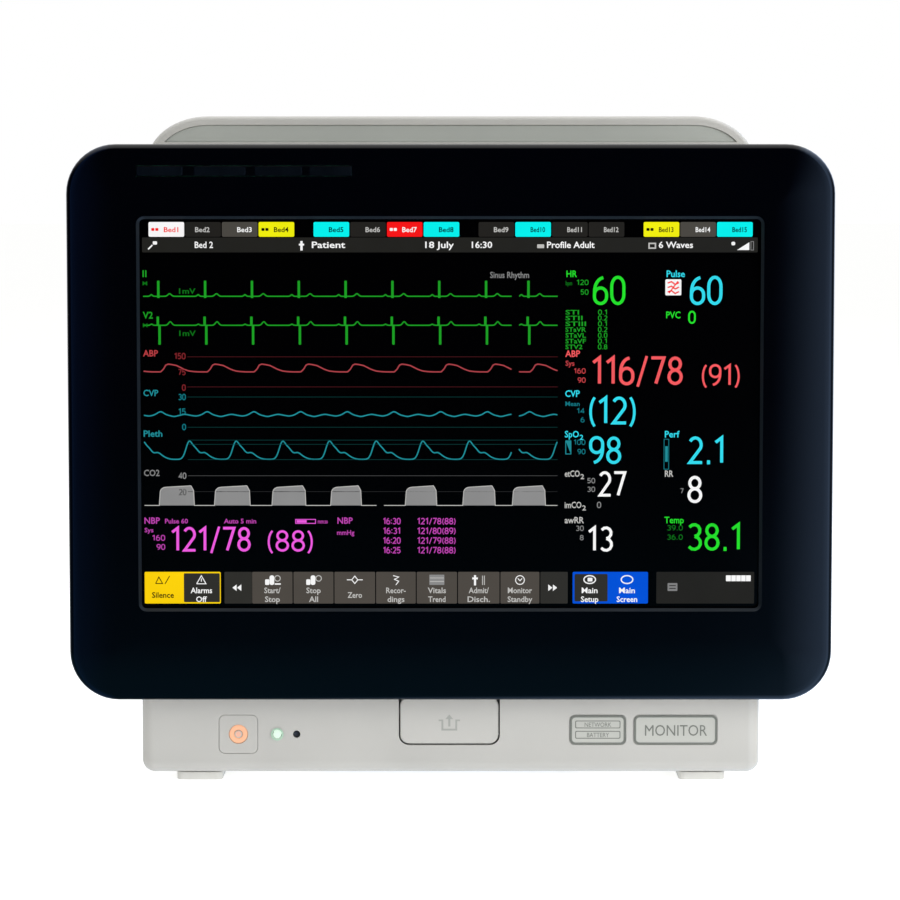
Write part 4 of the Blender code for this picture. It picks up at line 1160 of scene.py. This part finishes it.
def make_housing():
    x, d, z = spans("rear_housing")
    housing = block("housing", x, d, z)
    front, under = on_side(housing, D, -1), on_side(housing, Z, -1)
    round_edges(housing, 12.0, 10, lambda edge: not front(edge) and not under(edge))
    hollow = block("hollow", grown(x, -WALL), (d[0] - 2, d[1] - WALL), (z[0] - 2, z[1] - WALL))
    front, under = on_side(hollow, D, -1), on_side(hollow, Z, -1)
    round_edges(hollow, 12.0 - WALL, 8, lambda edge: not front(edge) and not under(edge))
    bay = tile("bay", BAY_X, (BAY_FLOOR, d[1] + 5), BAY_Z, 4.0, 5)
    walls = tile("walls", grown(BAY_X, WALL), (BAY_FLOOR - WALL, d[1] + 5), grown(BAY_Z, WALL), 5.0, 5)
    cut(hollow, walls)
    cut(housing, bay, hollow)

    speaker_holes = [tile(f"grille_{row}", around(101, 13), REAR_WALL, around(51.2 + 5.2 * row, 1.2), 1.15, 4)
                     for row in range(6)]
    openings = [
        tile("side_bay", (x[0] - 2, x[0] + 6), (60, 140), (62, 208), 5.0, 6, X),
        block("recorder_hole", (x[1] - 6, x[1] + 2), grown(spans("recorder_frame")[1], 0.3),
              grown(spans("recorder_frame")[2], 0.3)),
        vent_row("rear_vents", REAR_WALL, (118, 172), D),
        vent_row("top_vents", (112, 160), (220, 230), Z),
        gather("grille", speaker_holes),
    ]
    floor = (BAY_FLOOR - 6, BAY_FLOOR + 2)
    for name in ("lan_socket", "usb_socket", "video_socket"):
        sx, _, sz = spans(name)
        openings.append(block(name + "_hole", grown(sx, 0.3), floor, grown(sz, 0.3)))
    sx, _, sz = spans("ac_inlet")
    openings.append(block("inlet_hole", grown(sx, -2.5), floor, grown(sz, -2.5)))
    sx, _, sz = spans("earth_post")
    openings.append(cylinder("earth_hole", (middle(sx), middle(floor), middle(sz)), D, 4.3, 8))
    for screw in SCREWS:
        sx, _, sz = spans(screw)
        openings.append(cylinder(screw + "_way", (middle(sx), 187, middle(sz)), D, 4.5, 10))
    seam = (148.0, 148.7)
    groove = block("seam", grown(x, 1), seam, grown(z, 1))
    core = block("seam_core", grown(x, -0.6), grown(seam, 2), (z[0] - 3, z[1] - 0.6))
    round_edges(core, 11.4, 10, lambda edge: runs_along(D)(edge) and edge.verts[0].co.z > 0)
    cut(groove, core)
    cut(housing, *openings, groove)
    stand_in(polish(housing, 0.35), "shell", "rear_housing")


def make_screws():
    for screw in SCREWS:
        x, d, z = spans(screw)
        cx, cz, head = middle(x), middle(z), d[1] - 3.2
        tip = d[0] - head
        profile = [(0, 3.2), (1.6, 3.15), (3.2, 2.7), (4.0, 1.6), (4.0, 0), (2.0, 0), (2.0, tip), (0, tip)]
        item = turned(screw + "_fine", (cx, head, cz), D, profile, 32)
        cut(item, block("slot_a", around(cx, 2.3), (head + 1.5, head + 5), around(cz, 0.45)),
            block("slot_b", around(cx, 0.45), (head + 1.5, head + 5), around(cz, 2.3)))
        stand_in(polish(item, 0.12), "steel", screw)


SHOULDER_REACH, SHOULDER_DROP = 27.0, 20.0
HANDLE_RIM = 3.9
GRIP_LOW = 276.6


def handle_outline(half_width, low, high):
    outline = [(half_width, low)]
    outline += arc(half_width - SHOULDER_REACH, high - SHOULDER_DROP, SHOULDER_REACH, SHOULDER_DROP,
                   0, 90, 16)
    return mirrored(outline)


def grip_outline(inset, half_width, high):
    reach, drop = SHOULDER_REACH - HANDLE_RIM - inset, SHOULDER_DROP - HANDLE_RIM - inset
    centre_z = high - SHOULDER_DROP
    start = math.degrees(math.asin((GRIP_LOW + inset - centre_z) / drop))
    return mirrored(arc(half_width - SHOULDER_REACH, centre_z, reach, drop, start, 90, 14))


def make_handle():
    x, d, z = spans("carry_handle")
    handle = front_prism("handle", handle_outline(x[1], z[0], z[1]), d)
    under, front, back = on_side(handle, Z, -1), on_side(handle, D, -1), on_side(handle, D, 1)
    round_edges(handle, 1.8, 6, lambda edge: (front(edge) or back(edge)) and not under(edge))
    gap = tile("gap", (-101, 101), grown(d, 5), (232.5, 262), 9.0, 8)
    recess = front_prism("recess", grip_outline(0.0, x[1], z[1]), (d[0] - 2, d[0] + 2.4))
    cut(handle, gap, recess)
    stand_in(polish(handle, 0.3), "shell", "carry_handle")
    # The insert's darker grey is partly its own plastic and partly painted shade for the recess.
    insert = front_prism("grip_insert", grip_outline(0.08, x[1], z[1]), spans("handle_grip_insert")[1])
    stand_in(polish(insert, 0.2), "grip", "handle_grip_insert")


# ---------------------------------------------------------------- base

def make_base():
    x, d, z = spans("base_tray")
    tray = block("tray", x, d, z)
    top = on_side(tray, Z, 1)
    round_edges(tray, 5.4, 8, lambda edge: not top(edge))
    inner = block("inner", grown(x, -WALL), grown(d, -WALL), (z[0] + WALL, z[1] + 2))
    top = on_side(inner, Z, 1)
    round_edges(inner, 2.9, 4, lambda edge: not top(edge))
    wall = (d[0] - 2, d[0] + WALL + 2)
    rx, _, rz = spans("release_button")
    px, _, pz = spans("power_button")
    lx, _, lz = spans("battery_lamp_lens")
    sx, _, sz = spans("light_sensor_lens")
    _, bd, bz = spans("battery_door")
    cuts = [
        inner,
        tile("release_notch", grown(rx, 0.95), wall, (rz[0] - 0.95, z[1] + 9), 4.4, 8),
        tile("power_hole", grown(px, 0.3), wall, grown(pz, 0.3), 2.7, 6),
        cylinder("lamp_hole", (middle(lx), middle(wall), middle(lz)), D, 2.0, 6),
        cylinder("sensor_hole", (middle(sx), middle(wall), middle(sz)), D, 1.6, 6),
        block("mount_hole", (-55, 55), (38, 120), (z[0] - 2, z[0] + WALL + 1)),
        block("battery_hole", (x[1] - 6, x[1] + 2), grown(bd, 0.6), grown(bz, 0.5)),
    ]
    for name in ("label_plate_left", "label_plate_right"):
        px, _, pz = spans(name)
        cuts.append(tile(name + "_pocket", grown(px, 0.3), (d[0] - 2, d[0] + 0.5), grown(pz, 0.3), 2.4, 6))
    cut(tray, *cuts)
    stand_in(polish(tray, 0.4), "shell", "base_tray")


def make_labels():
    for name in ("label_plate_left", "label_plate_right"):
        x, d, z = spans(name)
        plate = tile(name + "_film", x, d, z, 2.2, 6)
        stand_in(polish(plate, 0.12), "label", name)
        rim = tile(name + "_rim", x, (d[0] - 0.06, d[0] + 0.1), z, 2.2, 6)
        cut(rim, tile("rim_hole", grown(x, -0.85), (d[0] - 1, d[0] + 1), grown(z, -0.85), 1.5, 6))
        dress(shade(rim), "print")
    x, d, z = spans("label_plate_right")
    printed("label_word", "MONITOR", (middle(x), d[0], middle(z)), 5.0, "print")
    x, d, z = spans("label_plate_left")
    for row, text in enumerate(("NETWORK", "BATTERY")):
        centre = z[1] - 3.9 - 4.5 * row
        proud = (d[0] - 0.05, d[0] + 0.1)
        frame_of = tile(f"small_rim_{row}", grown(x, -2.2), proud, around(centre, 1.7), 0.6, 3)
        cut(frame_of, tile("hole", grown(x, -2.6), (d[0] - 1, d[0] + 1), around(centre, 1.35), 0.4, 3))
        dress(shade(frame_of), "print")
        printed(f"small_word_{row}", text, (middle(x), d[0], centre), 2.0, "print")


PRINT_STANDS = 0.03


def printed(name, text, centre, height, material, narrow=0.86):
    """A generic word printed on a plate, standing a hair proud of it."""
    mesh = lettering(name, text, height * FACE_SIZE * MM, extrude=PRINT_STANDS * MM, resolution_u=3,
                     align_x="CENTER")
    mesh.transform(Matrix.Rotation(math.radians(90), 4, "X") @ Matrix.Diagonal((narrow, 1.0, 1.0, 1.0)))
    word = add_object(name, mesh, place(centre[0], centre[1] - PRINT_STANDS, centre[2] - height / 2))
    return dress(word, material)


def make_lamps_and_sensor():
    x, d, z = spans("battery_lamp_lens")
    lens = turned("lamp_lens", (middle(x), d[0], middle(z)), D,
                  [(0, -0.2), (1.0, -0.12), (1.5, 0.15), (1.75, 0.6), (1.75, 4.0), (0, 4.0)], 32)
    stand_in(shade(lens), "green_lamp", "battery_lamp_lens")
    # Painted glow: a green-tinted ring round the lens stands for the lamp's light spilling onto the housing.
    painted_glow_ring = turned("painted_lamp_glow", (middle(x), d[0], middle(z)), D,
                  [(2.0, -0.05), (2.7, -0.02), (2.7, 0.1), (2.0, 0.1)], 32)
    dress(shade(painted_glow_ring), "painted_green_glow")
    x, d, z = spans("light_sensor_lens")
    eye = turned("sensor_eye", (middle(x), d[0], middle(z)), D,
                 [(0, 0.3), (0.8, 0.1), (1.15, 0.0), (1.35, 0.3), (1.35, 3.0), (0, 3.0)], 32)
    stand_in(shade(eye), "dark", "light_sensor_lens")


def make_power_button():
    x, d, z = spans("power_button")
    cx, cz = middle(x), middle(z)
    button = tile("power_cap", x, (d[0], d[0] + 3), z, 2.4, 8)
    join(button, tile("skirt", grown(x, 0.2), (d[0] + 0.25, d[0] + 2.6), grown(z, 0.2), 2.6, 8),
         cylinder("stem", (cx, d[0] + 5, cz), D, 2.0, 5))
    groove = turned("groove", (cx, d[0], cz), D, [(4.2, -1), (4.2, 1.5), (1.6, 1.5), (1.6, -1)])
    cut(button, groove)
    stand_in(polish(button, 0.14), "button", "power_button", "power_button")
    ring = turned("light_ring", (cx, d[0], cz), D,
                  [(1.9, 0.4), (2.2, 0.05), (2.9, -0.05), (3.6, 0.05), (3.9, 0.4), (3.9, 1.2), (1.9, 1.2)])
    stand_in(shade(ring), "amber", "power_ring", "power_button")
    mark = turned("power_mark", (cx, d[0], cz), D,
                  [(0, -0.08), (0.9, -0.06), (1.25, 0.0), (1.25, 0.2), (0, 0.2)], 32)
    dress(shade(mark), "amber_mark", body="power_button")


RAMP_LOW = 17.1


def make_release_button():
    x, d, z = spans("release_button")
    depth = (d[0], d[0] + WALL)
    button = tile("release_face", x, depth, z, 3.6, 8)
    skirt = tile("release_skirt", grown(x, 0.4), (d[0] + 0.8, depth[1]), grown(z, 0.4), 4.0, 8)
    ramp = front_prism("ramp", [(-5, RAMP_LOW), (5, RAMP_LOW), (5, 20), (-5, 20)], (depth[1] - 0.5, 61))
    wedge = block("wedge", (-5, 5), (40, 60.9), (RAMP_LOW, 25))
    cut(wedge, wedge_cutter())
    join(button, skirt, ramp, wedge)
    stand_in(polish(button, 0.35), "button", "release_button", "release_button")
    make_release_symbol(middle(x), d[0], 25.6)


def wedge_cutter():
    """What is cut off to leave the ramp that lifts the latch."""
    outline = ((53.9, 25.1), (61.2, 17.8), (70, 17.8), (70, 30), (53.9, 30))
    return prism("wedge_cut", [[place(x, d, z) for d, z in outline] for x in (-7, 7)])


def make_release_symbol(x, d, z):
    """A tray with an arrow rising out of it, faintly moulded on the button."""
    wide, deep = 4.6, (d - 0.05, d + 0.3)
    half_tray = [(2.6, -2.4), (2.6, 1.6), (wide, 1.6), (wide, 0.9), (3.4, 0.9), (3.4, -3.2)]
    tray = mirrored(half_tray)
    arrow = [(-0.45, -1.4), (0.45, -1.4), (0.45, 1.8), (1.7, 1.8), (0.0, 3.8), (-1.7, 1.8), (-0.45, 1.8)]
    items = [front_prism(f"symbol_{number}", [(x + u, z + w) for u, w in outline], deep)
             for number, outline in enumerate((tray, arrow))]
    dress(gather("release_symbol", items), "faint_print", body="release_button")


def make_feet():
    for name in ("foot_front_left", "foot_front_right", "foot_rear_left", "foot_rear_right"):
        x, d, z = spans(name)
        pad = tile(name + "_pad", x, d, z, 3.0, 6, Z)
        cut(pad, bars("grooves", 4, lambda step: (grown(x, 2), around(d[0] + 6 + 4 * step, 0.5),
                                                  (z[0] - 1, z[0] + 0.7))))
        stand_in(polish(pad, 0.5, 3), "foot", name)


# ---------------------------------------------------------------- doors

LINE_DEPTH, RIDGE_DEPTH = 0.5, 0.6


def make_battery_door():
    x, d, z = spans("battery_door")
    door = tile("battery_cover", x, d, z, 1.2, 4, X)
    pocket = tile("pocket", (x[1] - 1.8, x[1] + 2), (77.4, 92.6), (14.6, 27.4), 2.0, 5, X)
    skin = (x[1] - LINE_DEPTH, x[1] + 1)
    cut(door, pocket, bars("lines", 3, lambda row: (skin, (100, 158), around(17.2 + 4.0 * row, 0.4))))
    stand_in(polish(door, 0.3), "shell", "battery_door", "battery_door")
    x, d, z = spans("battery_door_catch")
    catch = tile("battery_catch_fine", x, d, z, 1.6, 5, X)
    skin = (x[1] - RIDGE_DEPTH, x[1] + 1)
    cut(catch, bars("ridges", 4, lambda step: (skin, around(80.4 + 2 * step, 0.35), (16.5, 25.5))))
    stand_in(polish(catch, 0.25), "dark_grip", "battery_door_catch", "battery_catch")


def make_recorder():
    x, d, z = spans("recorder_frame")
    bay = tile("recorder_case", x, d, z, 1.0, 3, X)
    cut(bay, tile("bay_hollow", (x[0] + 2, x[1] + 3), grown(d, -2), grown(z, -2), 1.5, 4, X))
    roll_x, roll_d, roll_z = spans("paper_roll")
    rx, rz = middle(roll_x), middle(roll_z)
    join(bay, *[cylinder(f"peg_{where:.0f}", (rx, where, rz), D, 4.8, 17, 32) for where in (69.5, 136.5)])
    stand_in(polish(bay, 0.2), "dark", "recorder_frame")

    outer, end = half(roll_x), half(roll_d)
    profile = [(5.8, -end), (outer, -end), (outer, end), (5.8, end)]
    roll = turned("paper", (rx, middle(roll_d), rz), D, profile, 64)
    stand_in(polish(roll, 0.2), "paper", "paper_roll", "paper_roll")

    x, d, z = spans("platen_roller")
    px, pz, length = middle(x), middle(z), half(d)
    profile = [(0, -length), (2, -length), (2, -29), (5, -29), (5, 29), (2, 29), (2, length), (0, length)]
    platen = turned("platen", (px, middle(d), pz), D, profile, 40)
    stand_in(polish(platen, 0.2), "seal", "platen_roller", "platen")

    x, d, z = spans("recorder_door")
    face = (x[1] - 4.9, x[1])
    door = tile("recorder_cover", face, d, z, 2.0, 5, X)
    for number_of, ear_d in enumerate(((69.0, 72.0), (134.0, 137.0))):
        join(door, tile(f"ear_{number_of}", (115.5, 129), ear_d, around(pz, 6), 2.0, 4, D))
    way = cylinder("way", (px, middle(d), pz), D, 2.4, 90)
    notch = block("notch", (129.8, 135), (94.7, 111.3), (174, 196))
    skin = (x[1] - LINE_DEPTH, x[1] + 1)
    cut(door, way, notch, bars("lines", 7, lambda row: (skin, (74, 132), around(120 + 5.0 * row, 0.4))))
    stand_in(polish(door, 0.35), "shell", "recorder_door", "recorder_door")

    x, d, z = spans("recorder_latch")
    latch = tile("recorder_catch", x, d, z, 1.2, 4, X)
    skin = (x[1] - RIDGE_DEPTH, x[1] + 1)
    cut(latch, bars("ridges", 4, lambda row: (skin, (97, 109), around(180 + 2.4 * row, 0.4))))
    stand_in(polish(latch, 0.25), "dark_grip", "recorder_latch", "recorder_latch")


# ---------------------------------------------------------------- connectors

PORTS = {  # name: barrel radius, bore radius, look, pins in the ring
    "ecg_connector": (11.0, 8.0, "ecg", 11),
    "spo2_connector": (10.0, 7.0, "blue", 8),
    "nbp_connector": (9.0, 5.0, "red_socket", 0),
    "pressure_connector": (10.0, 7.0, "white_socket", 6),
    "temp_connector": (8.0, 4.5, "brown", 2),
}
PORT_FLANGE = 2.0
PORT_DEEP = 15.0
PORT_END = -112.5


def make_side_connectors():
    x, d, z = spans("connector_panel")
    panel = block("side_panel", x, d, z)
    ways = []
    for name, (radius, *_) in PORTS.items():
        _, pd, pz = spans(name)
        ways.append(cylinder(name + "_way", (middle(x), middle(pd), middle(pz)), X, radius + 0.3, 10))
    cut(panel, *ways)
    stand_in(polish(panel, 0.2), "panel", "connector_panel")
    for name, (radius, bore, look, pins) in PORTS.items():
        px, pd, pz = spans(name)
        cd, cz, front = middle(pd), middle(pz), px[0]
        depth, flange = PORT_END - front, radius + PORT_FLANGE
        profile = [(bore, 0.6), (bore + 0.6, 0.0), (flange - 0.6, 0.0), (flange, 0.7), (flange, 2.5),
                   (radius, 2.5), (radius, depth), (0, depth), (0, PORT_DEEP), (bore, PORT_DEEP)]
        port = turned(name + "_shell", (front, cd, cz), X, profile, 64)
        if name == "nbp_connector":
            join(port, cylinder("nipple", (-106, cd, cz), X, 2.6, 16))
        stand_in(polish(port, 0.25), look, name)
        make_port_inside(name, front, cd, cz, bore, pins)


def make_port_inside(name, front, cd, cz, bore, pins):
    """The contacts in a socket, on the face of its inner block."""
    reach = bore * 0.6
    items = []
    for index in range(pins):
        angle = 2 * math.pi * (index + 0.5) / pins
        where = (front + 13.6, cd + reach * math.cos(angle), cz + reach * math.sin(angle))
        items.append(cylinder(f"pin_{index}", where, X, 0.55, 3.6, 12))
    if pins:
        dress(shade(gather(name + "_pins", items)), "brass")
    else:
        profile = [(1.2, 0), (2.4, 0), (2.4, 12.6), (1.2, 12.6)]
        spigot = turned(name + "_spigot", (front + 2.5, cd, cz), X, profile, 32)
        dress(polish(spigot, 0.2), "steel")


REAR_SOCKETS = {  # name: for each opening its lift, width, height and depth
    "lan_socket": ((0, 12, 10, 14),),
    "usb_socket": ((-3.6, 12, 5, 13), (3.6, 12, 5, 13)),
    "video_socket": ((0, 30, 8, 8),),
}


def make_rear_sockets():
    x, d, z = spans("ac_inlet")
    cx, cz = middle(x), middle(z)
    inlet = tile("mains_inlet", x, (BAY_FLOOR + 0.3, d[1]), z, 3.0, 6)
    join(inlet, block("inlet_body", grown(x, -2.8), (d[0], BAY_FLOOR + 1), grown(z, -2.8)))
    cut(inlet, tile("inlet_hollow", around(cx, 12), (d[0] + 5, 190), around(cz, 8), 3.0, 5))
    stand_in(polish(inlet, 0.3), "dark", "ac_inlet")
    pins = [block(f"pin_{off}", around(cx + off, 1.0), (d[0] + 4, d[0] + 13), around(cz + lift, 2.0))
            for off, lift in ((-7, 0), (0, 1.5), (7, 0))]
    dress(polish(gather("inlet_blades", pins), 0.2), "steel")

    for name, hollows in REAR_SOCKETS.items():
        x, d, z = spans(name)
        body = tile(name + "_can", x, d, z, 0.8, 4)
        inside = []
        for number_of, (off_z, wide, high, deep) in enumerate(hollows):
            mx, mz = middle(x), middle(z) + off_z
            cut(body, tile(f"hollow_{number_of}", around(mx, wide / 2), (d[1] - deep, d[1] + 2),
                           around(mz, high / 2), 0.5, 3))
            start = d[1] - deep + 0.1
            if name == "lan_socket":
                inside += [block(f"contact_{k}", around(mx - 3.5 + k, 0.25), (start, d[1] - 4),
                                 around(mz - 3.6, 0.3)) for k in range(8)]
            elif name == "usb_socket":
                inside.append(block(f"tongue_{number_of}", around(mx, 4.6), (start, d[1] - 3),
                                    around(mz + 0.7, 0.6)))
            else:
                plug = (start, d[1] - 1.5)
                inside.append(tile("d_plug", around(mx, 12.5), plug, around(mz, 2.4), 1.0, 4))
        stand_in(polish(body, 0.2), "steel", name)
        look = "brass" if name == "lan_socket" else "dark"
        dress(polish(gather(name + "_inside", inside), 0.1), look)

    x, d, z = spans("earth_post")
    ex, ez = middle(x), middle(z)
    post = cylinder("ground_post", (ex, BAY_FLOOR + 1.2, ez), D, 6.0, 2.0, 6)
    body = (d[0], BAY_FLOOR + 1)
    join(post, cylinder("post_body", (ex, middle(body), ez), D, 4.0, 2 * half(body)),
         cylinder("post_pin", (ex, d[1] - 2.6, ez), D, 3.0, 5.2))
    stand_in(polish(post, 0.3), "brass", "earth_post")


# ---------------------------------------------------------------- stage, light and camera

ELEVATION = math.radians(4.4)
DISTANCE = 1.4
LENS = 131.48
TARGET = Vector((-0.0003, FRONT * MM, 0.1450))


def make_camera():
    data = bpy.data.cameras.new("camera")
    data.lens = LENS
    data.sensor_width = 36.0
    data.dof.use_dof = False
    camera = bpy.data.objects.new("camera", data)
    camera.location = TARGET + DISTANCE * Vector((0, -math.cos(ELEVATION), math.sin(ELEVATION)))
    camera.rotation_euler = (TARGET - camera.location).to_track_quat("-Z", "Y").to_euler()
    bpy.context.scene.collection.objects.link(camera)
    bpy.context.scene.camera = camera


FLOOR_SIZE = 60.0
FLOOR_GLOW = 0.57


def make_floor():
    """A pale floor that glows a little, so that it reads as the photo's white ground."""
    bpy.ops.mesh.primitive_plane_add(size=FLOOR_SIZE)
    floor = bpy.context.object
    floor.name = "floor"
    material, nodes, shader, where = new_material("pale_floor")
    cloud = nodes.mix(nodes.noise(where, 3.0), (0.93, 0.93, 0.93), (0.96, 0.96, 0.96))
    nodes.link(cloud, shader.inputs["Base Color"])
    shader.inputs["Roughness"].default_value = 0.9
    shader.inputs["Emission Color"].default_value = (1.0, 1.0, 1.0, 1.0)
    shader.inputs["Emission Strength"].default_value = FLOOR_GLOW
    shader.inputs["Specular IOR Level"].default_value = 0.0
    floor.data.materials.append(material)
    floor.visible_glossy = False


def eased(nodes, value, start, stop, low, high):
    node = nodes.add("ShaderNodeMapRange", interpolation_type="SMOOTHSTEP")
    node.inputs["From Min"].default_value = start
    node.inputs["From Max"].default_value = stop
    node.inputs["To Min"].default_value = low
    node.inputs["To Max"].default_value = high
    nodes.link(value, node.inputs["Value"])
    return node.outputs["Result"]


WHITE = (1.0, 1.0, 1.0)
SOFT_BOXES = (  # direction, where it starts and is full, strength, colour, where it starts to fade
    ((0.0, 0.0, 1.0), 0.35, 0.95, 1.1, WHITE, None),
    ((0.0, 1.0, 0.0), 0.0, 0.6, 0.6, WHITE, None),
    ((0.982, 0.0, -0.19), 0.10, 0.34, 1.6, (0.42, 0.62, 1.0), 0.62),
    ((0.0, 0.0, -1.0), 0.05, 0.25, 0.14, (0.15, 0.65, 1.0), None),
    ((-1.0, 0.0, 0.0), 0.122, 0.32, 0.34, (0.12, 0.32, 1.0), 0.38),
)
FADE_SPAN, FADED = 0.34, 0.08


def soft_box(nodes, way, direction, start, stop, strength, colour, fade_start):
    """Light from one side of the room. Two of them fade again where the surface is seen edge on."""
    dot = nodes.add("ShaderNodeVectorMath", operation="DOT_PRODUCT")
    dot.inputs[1].default_value = direction
    nodes.link(way, dot.inputs[0])
    amount = eased(nodes, dot.outputs["Value"], start, stop, 0.0, strength)
    if fade_start is not None:
        both = nodes.add("ShaderNodeMath", operation="MULTIPLY")
        fade = eased(nodes, dot.outputs["Value"], fade_start, fade_start + FADE_SPAN, 1.0, FADED)
        nodes.link(amount, both.inputs[0])
        nodes.link(fade, both.inputs[1])
        amount = both.outputs["Value"]
    tint = nodes.add("ShaderNodeVectorMath", operation="SCALE")
    tint.inputs[0].default_value = colour
    nodes.link(amount, tint.inputs["Scale"])
    return tint.outputs["Vector"]


def make_world():
    """White to the eye, even for soft light, and a dark room with soft boxes in reflections."""
    world = bpy.data.worlds.new("studio")
    bpy.context.scene.world = world
    world.use_nodes = True
    nodes = Nodes(world.node_tree)
    background = world.node_tree.nodes["Background"]
    way = nodes.add("ShaderNodeTexCoord").outputs["Generated"]
    total, *others = [soft_box(nodes, way, *box) for box in SOFT_BOXES]
    for light in others:
        add = nodes.add("ShaderNodeVectorMath", operation="ADD")
        nodes.link(total, add.inputs[0])
        nodes.link(light, add.inputs[1])
        total = add.outputs["Vector"]
    path = nodes.add("ShaderNodeLightPath")
    soft = nodes.mix(path.outputs["Is Glossy Ray"], (0.45, 0.45, 0.44), total)
    nodes.link(nodes.mix(path.outputs["Is Camera Ray"], soft, WHITE), background.inputs["Color"])


LIGHTS = (  # name, place in metres, size in metres, watts
    ("key", (0.85, -0.65, 0.4), 0.6, 5.0),
    ("fill", (-1.6, -1.0, 0.9), 1.3, 3.0),
    ("top", (0.1, 0.2, 1.9), 1.6, 19.0),
)
LIT_POINT = Vector((0, 0, 0.14))


def make_lights():
    for name, where, size, power in LIGHTS:
        data = bpy.data.lights.new(name, "AREA")
        data.size = size
        data.energy = power
        lamp = bpy.data.objects.new(name, data)
        lamp.location = where
        lamp.rotation_euler = (LIT_POINT - lamp.location).to_track_quat("-Z", "Y").to_euler()
        lamp.visible_glossy = False
        bpy.context.scene.collection.objects.link(lamp)


# ---------------------------------------------------------------- assembly


for leftover in [item for item in bpy.context.scene.objects if item.name in ("Cube", "Light", "Camera")]:
    bpy.data.objects.remove(leftover)
bpy.context.scene.view_settings.view_transform = "Standard"

for make in (dress_cad_nodes, make_camera, make_floor, make_world, make_lights,
             make_bezel, make_lamp_strip, make_glass, make_display_shell, make_picture,
             make_housing, make_screws, make_handle, make_base, make_labels, make_lamps_and_sensor,
             make_power_button, make_release_button, make_feet, make_battery_door, make_recorder,
             make_side_connectors, make_rear_sockets):
    make()
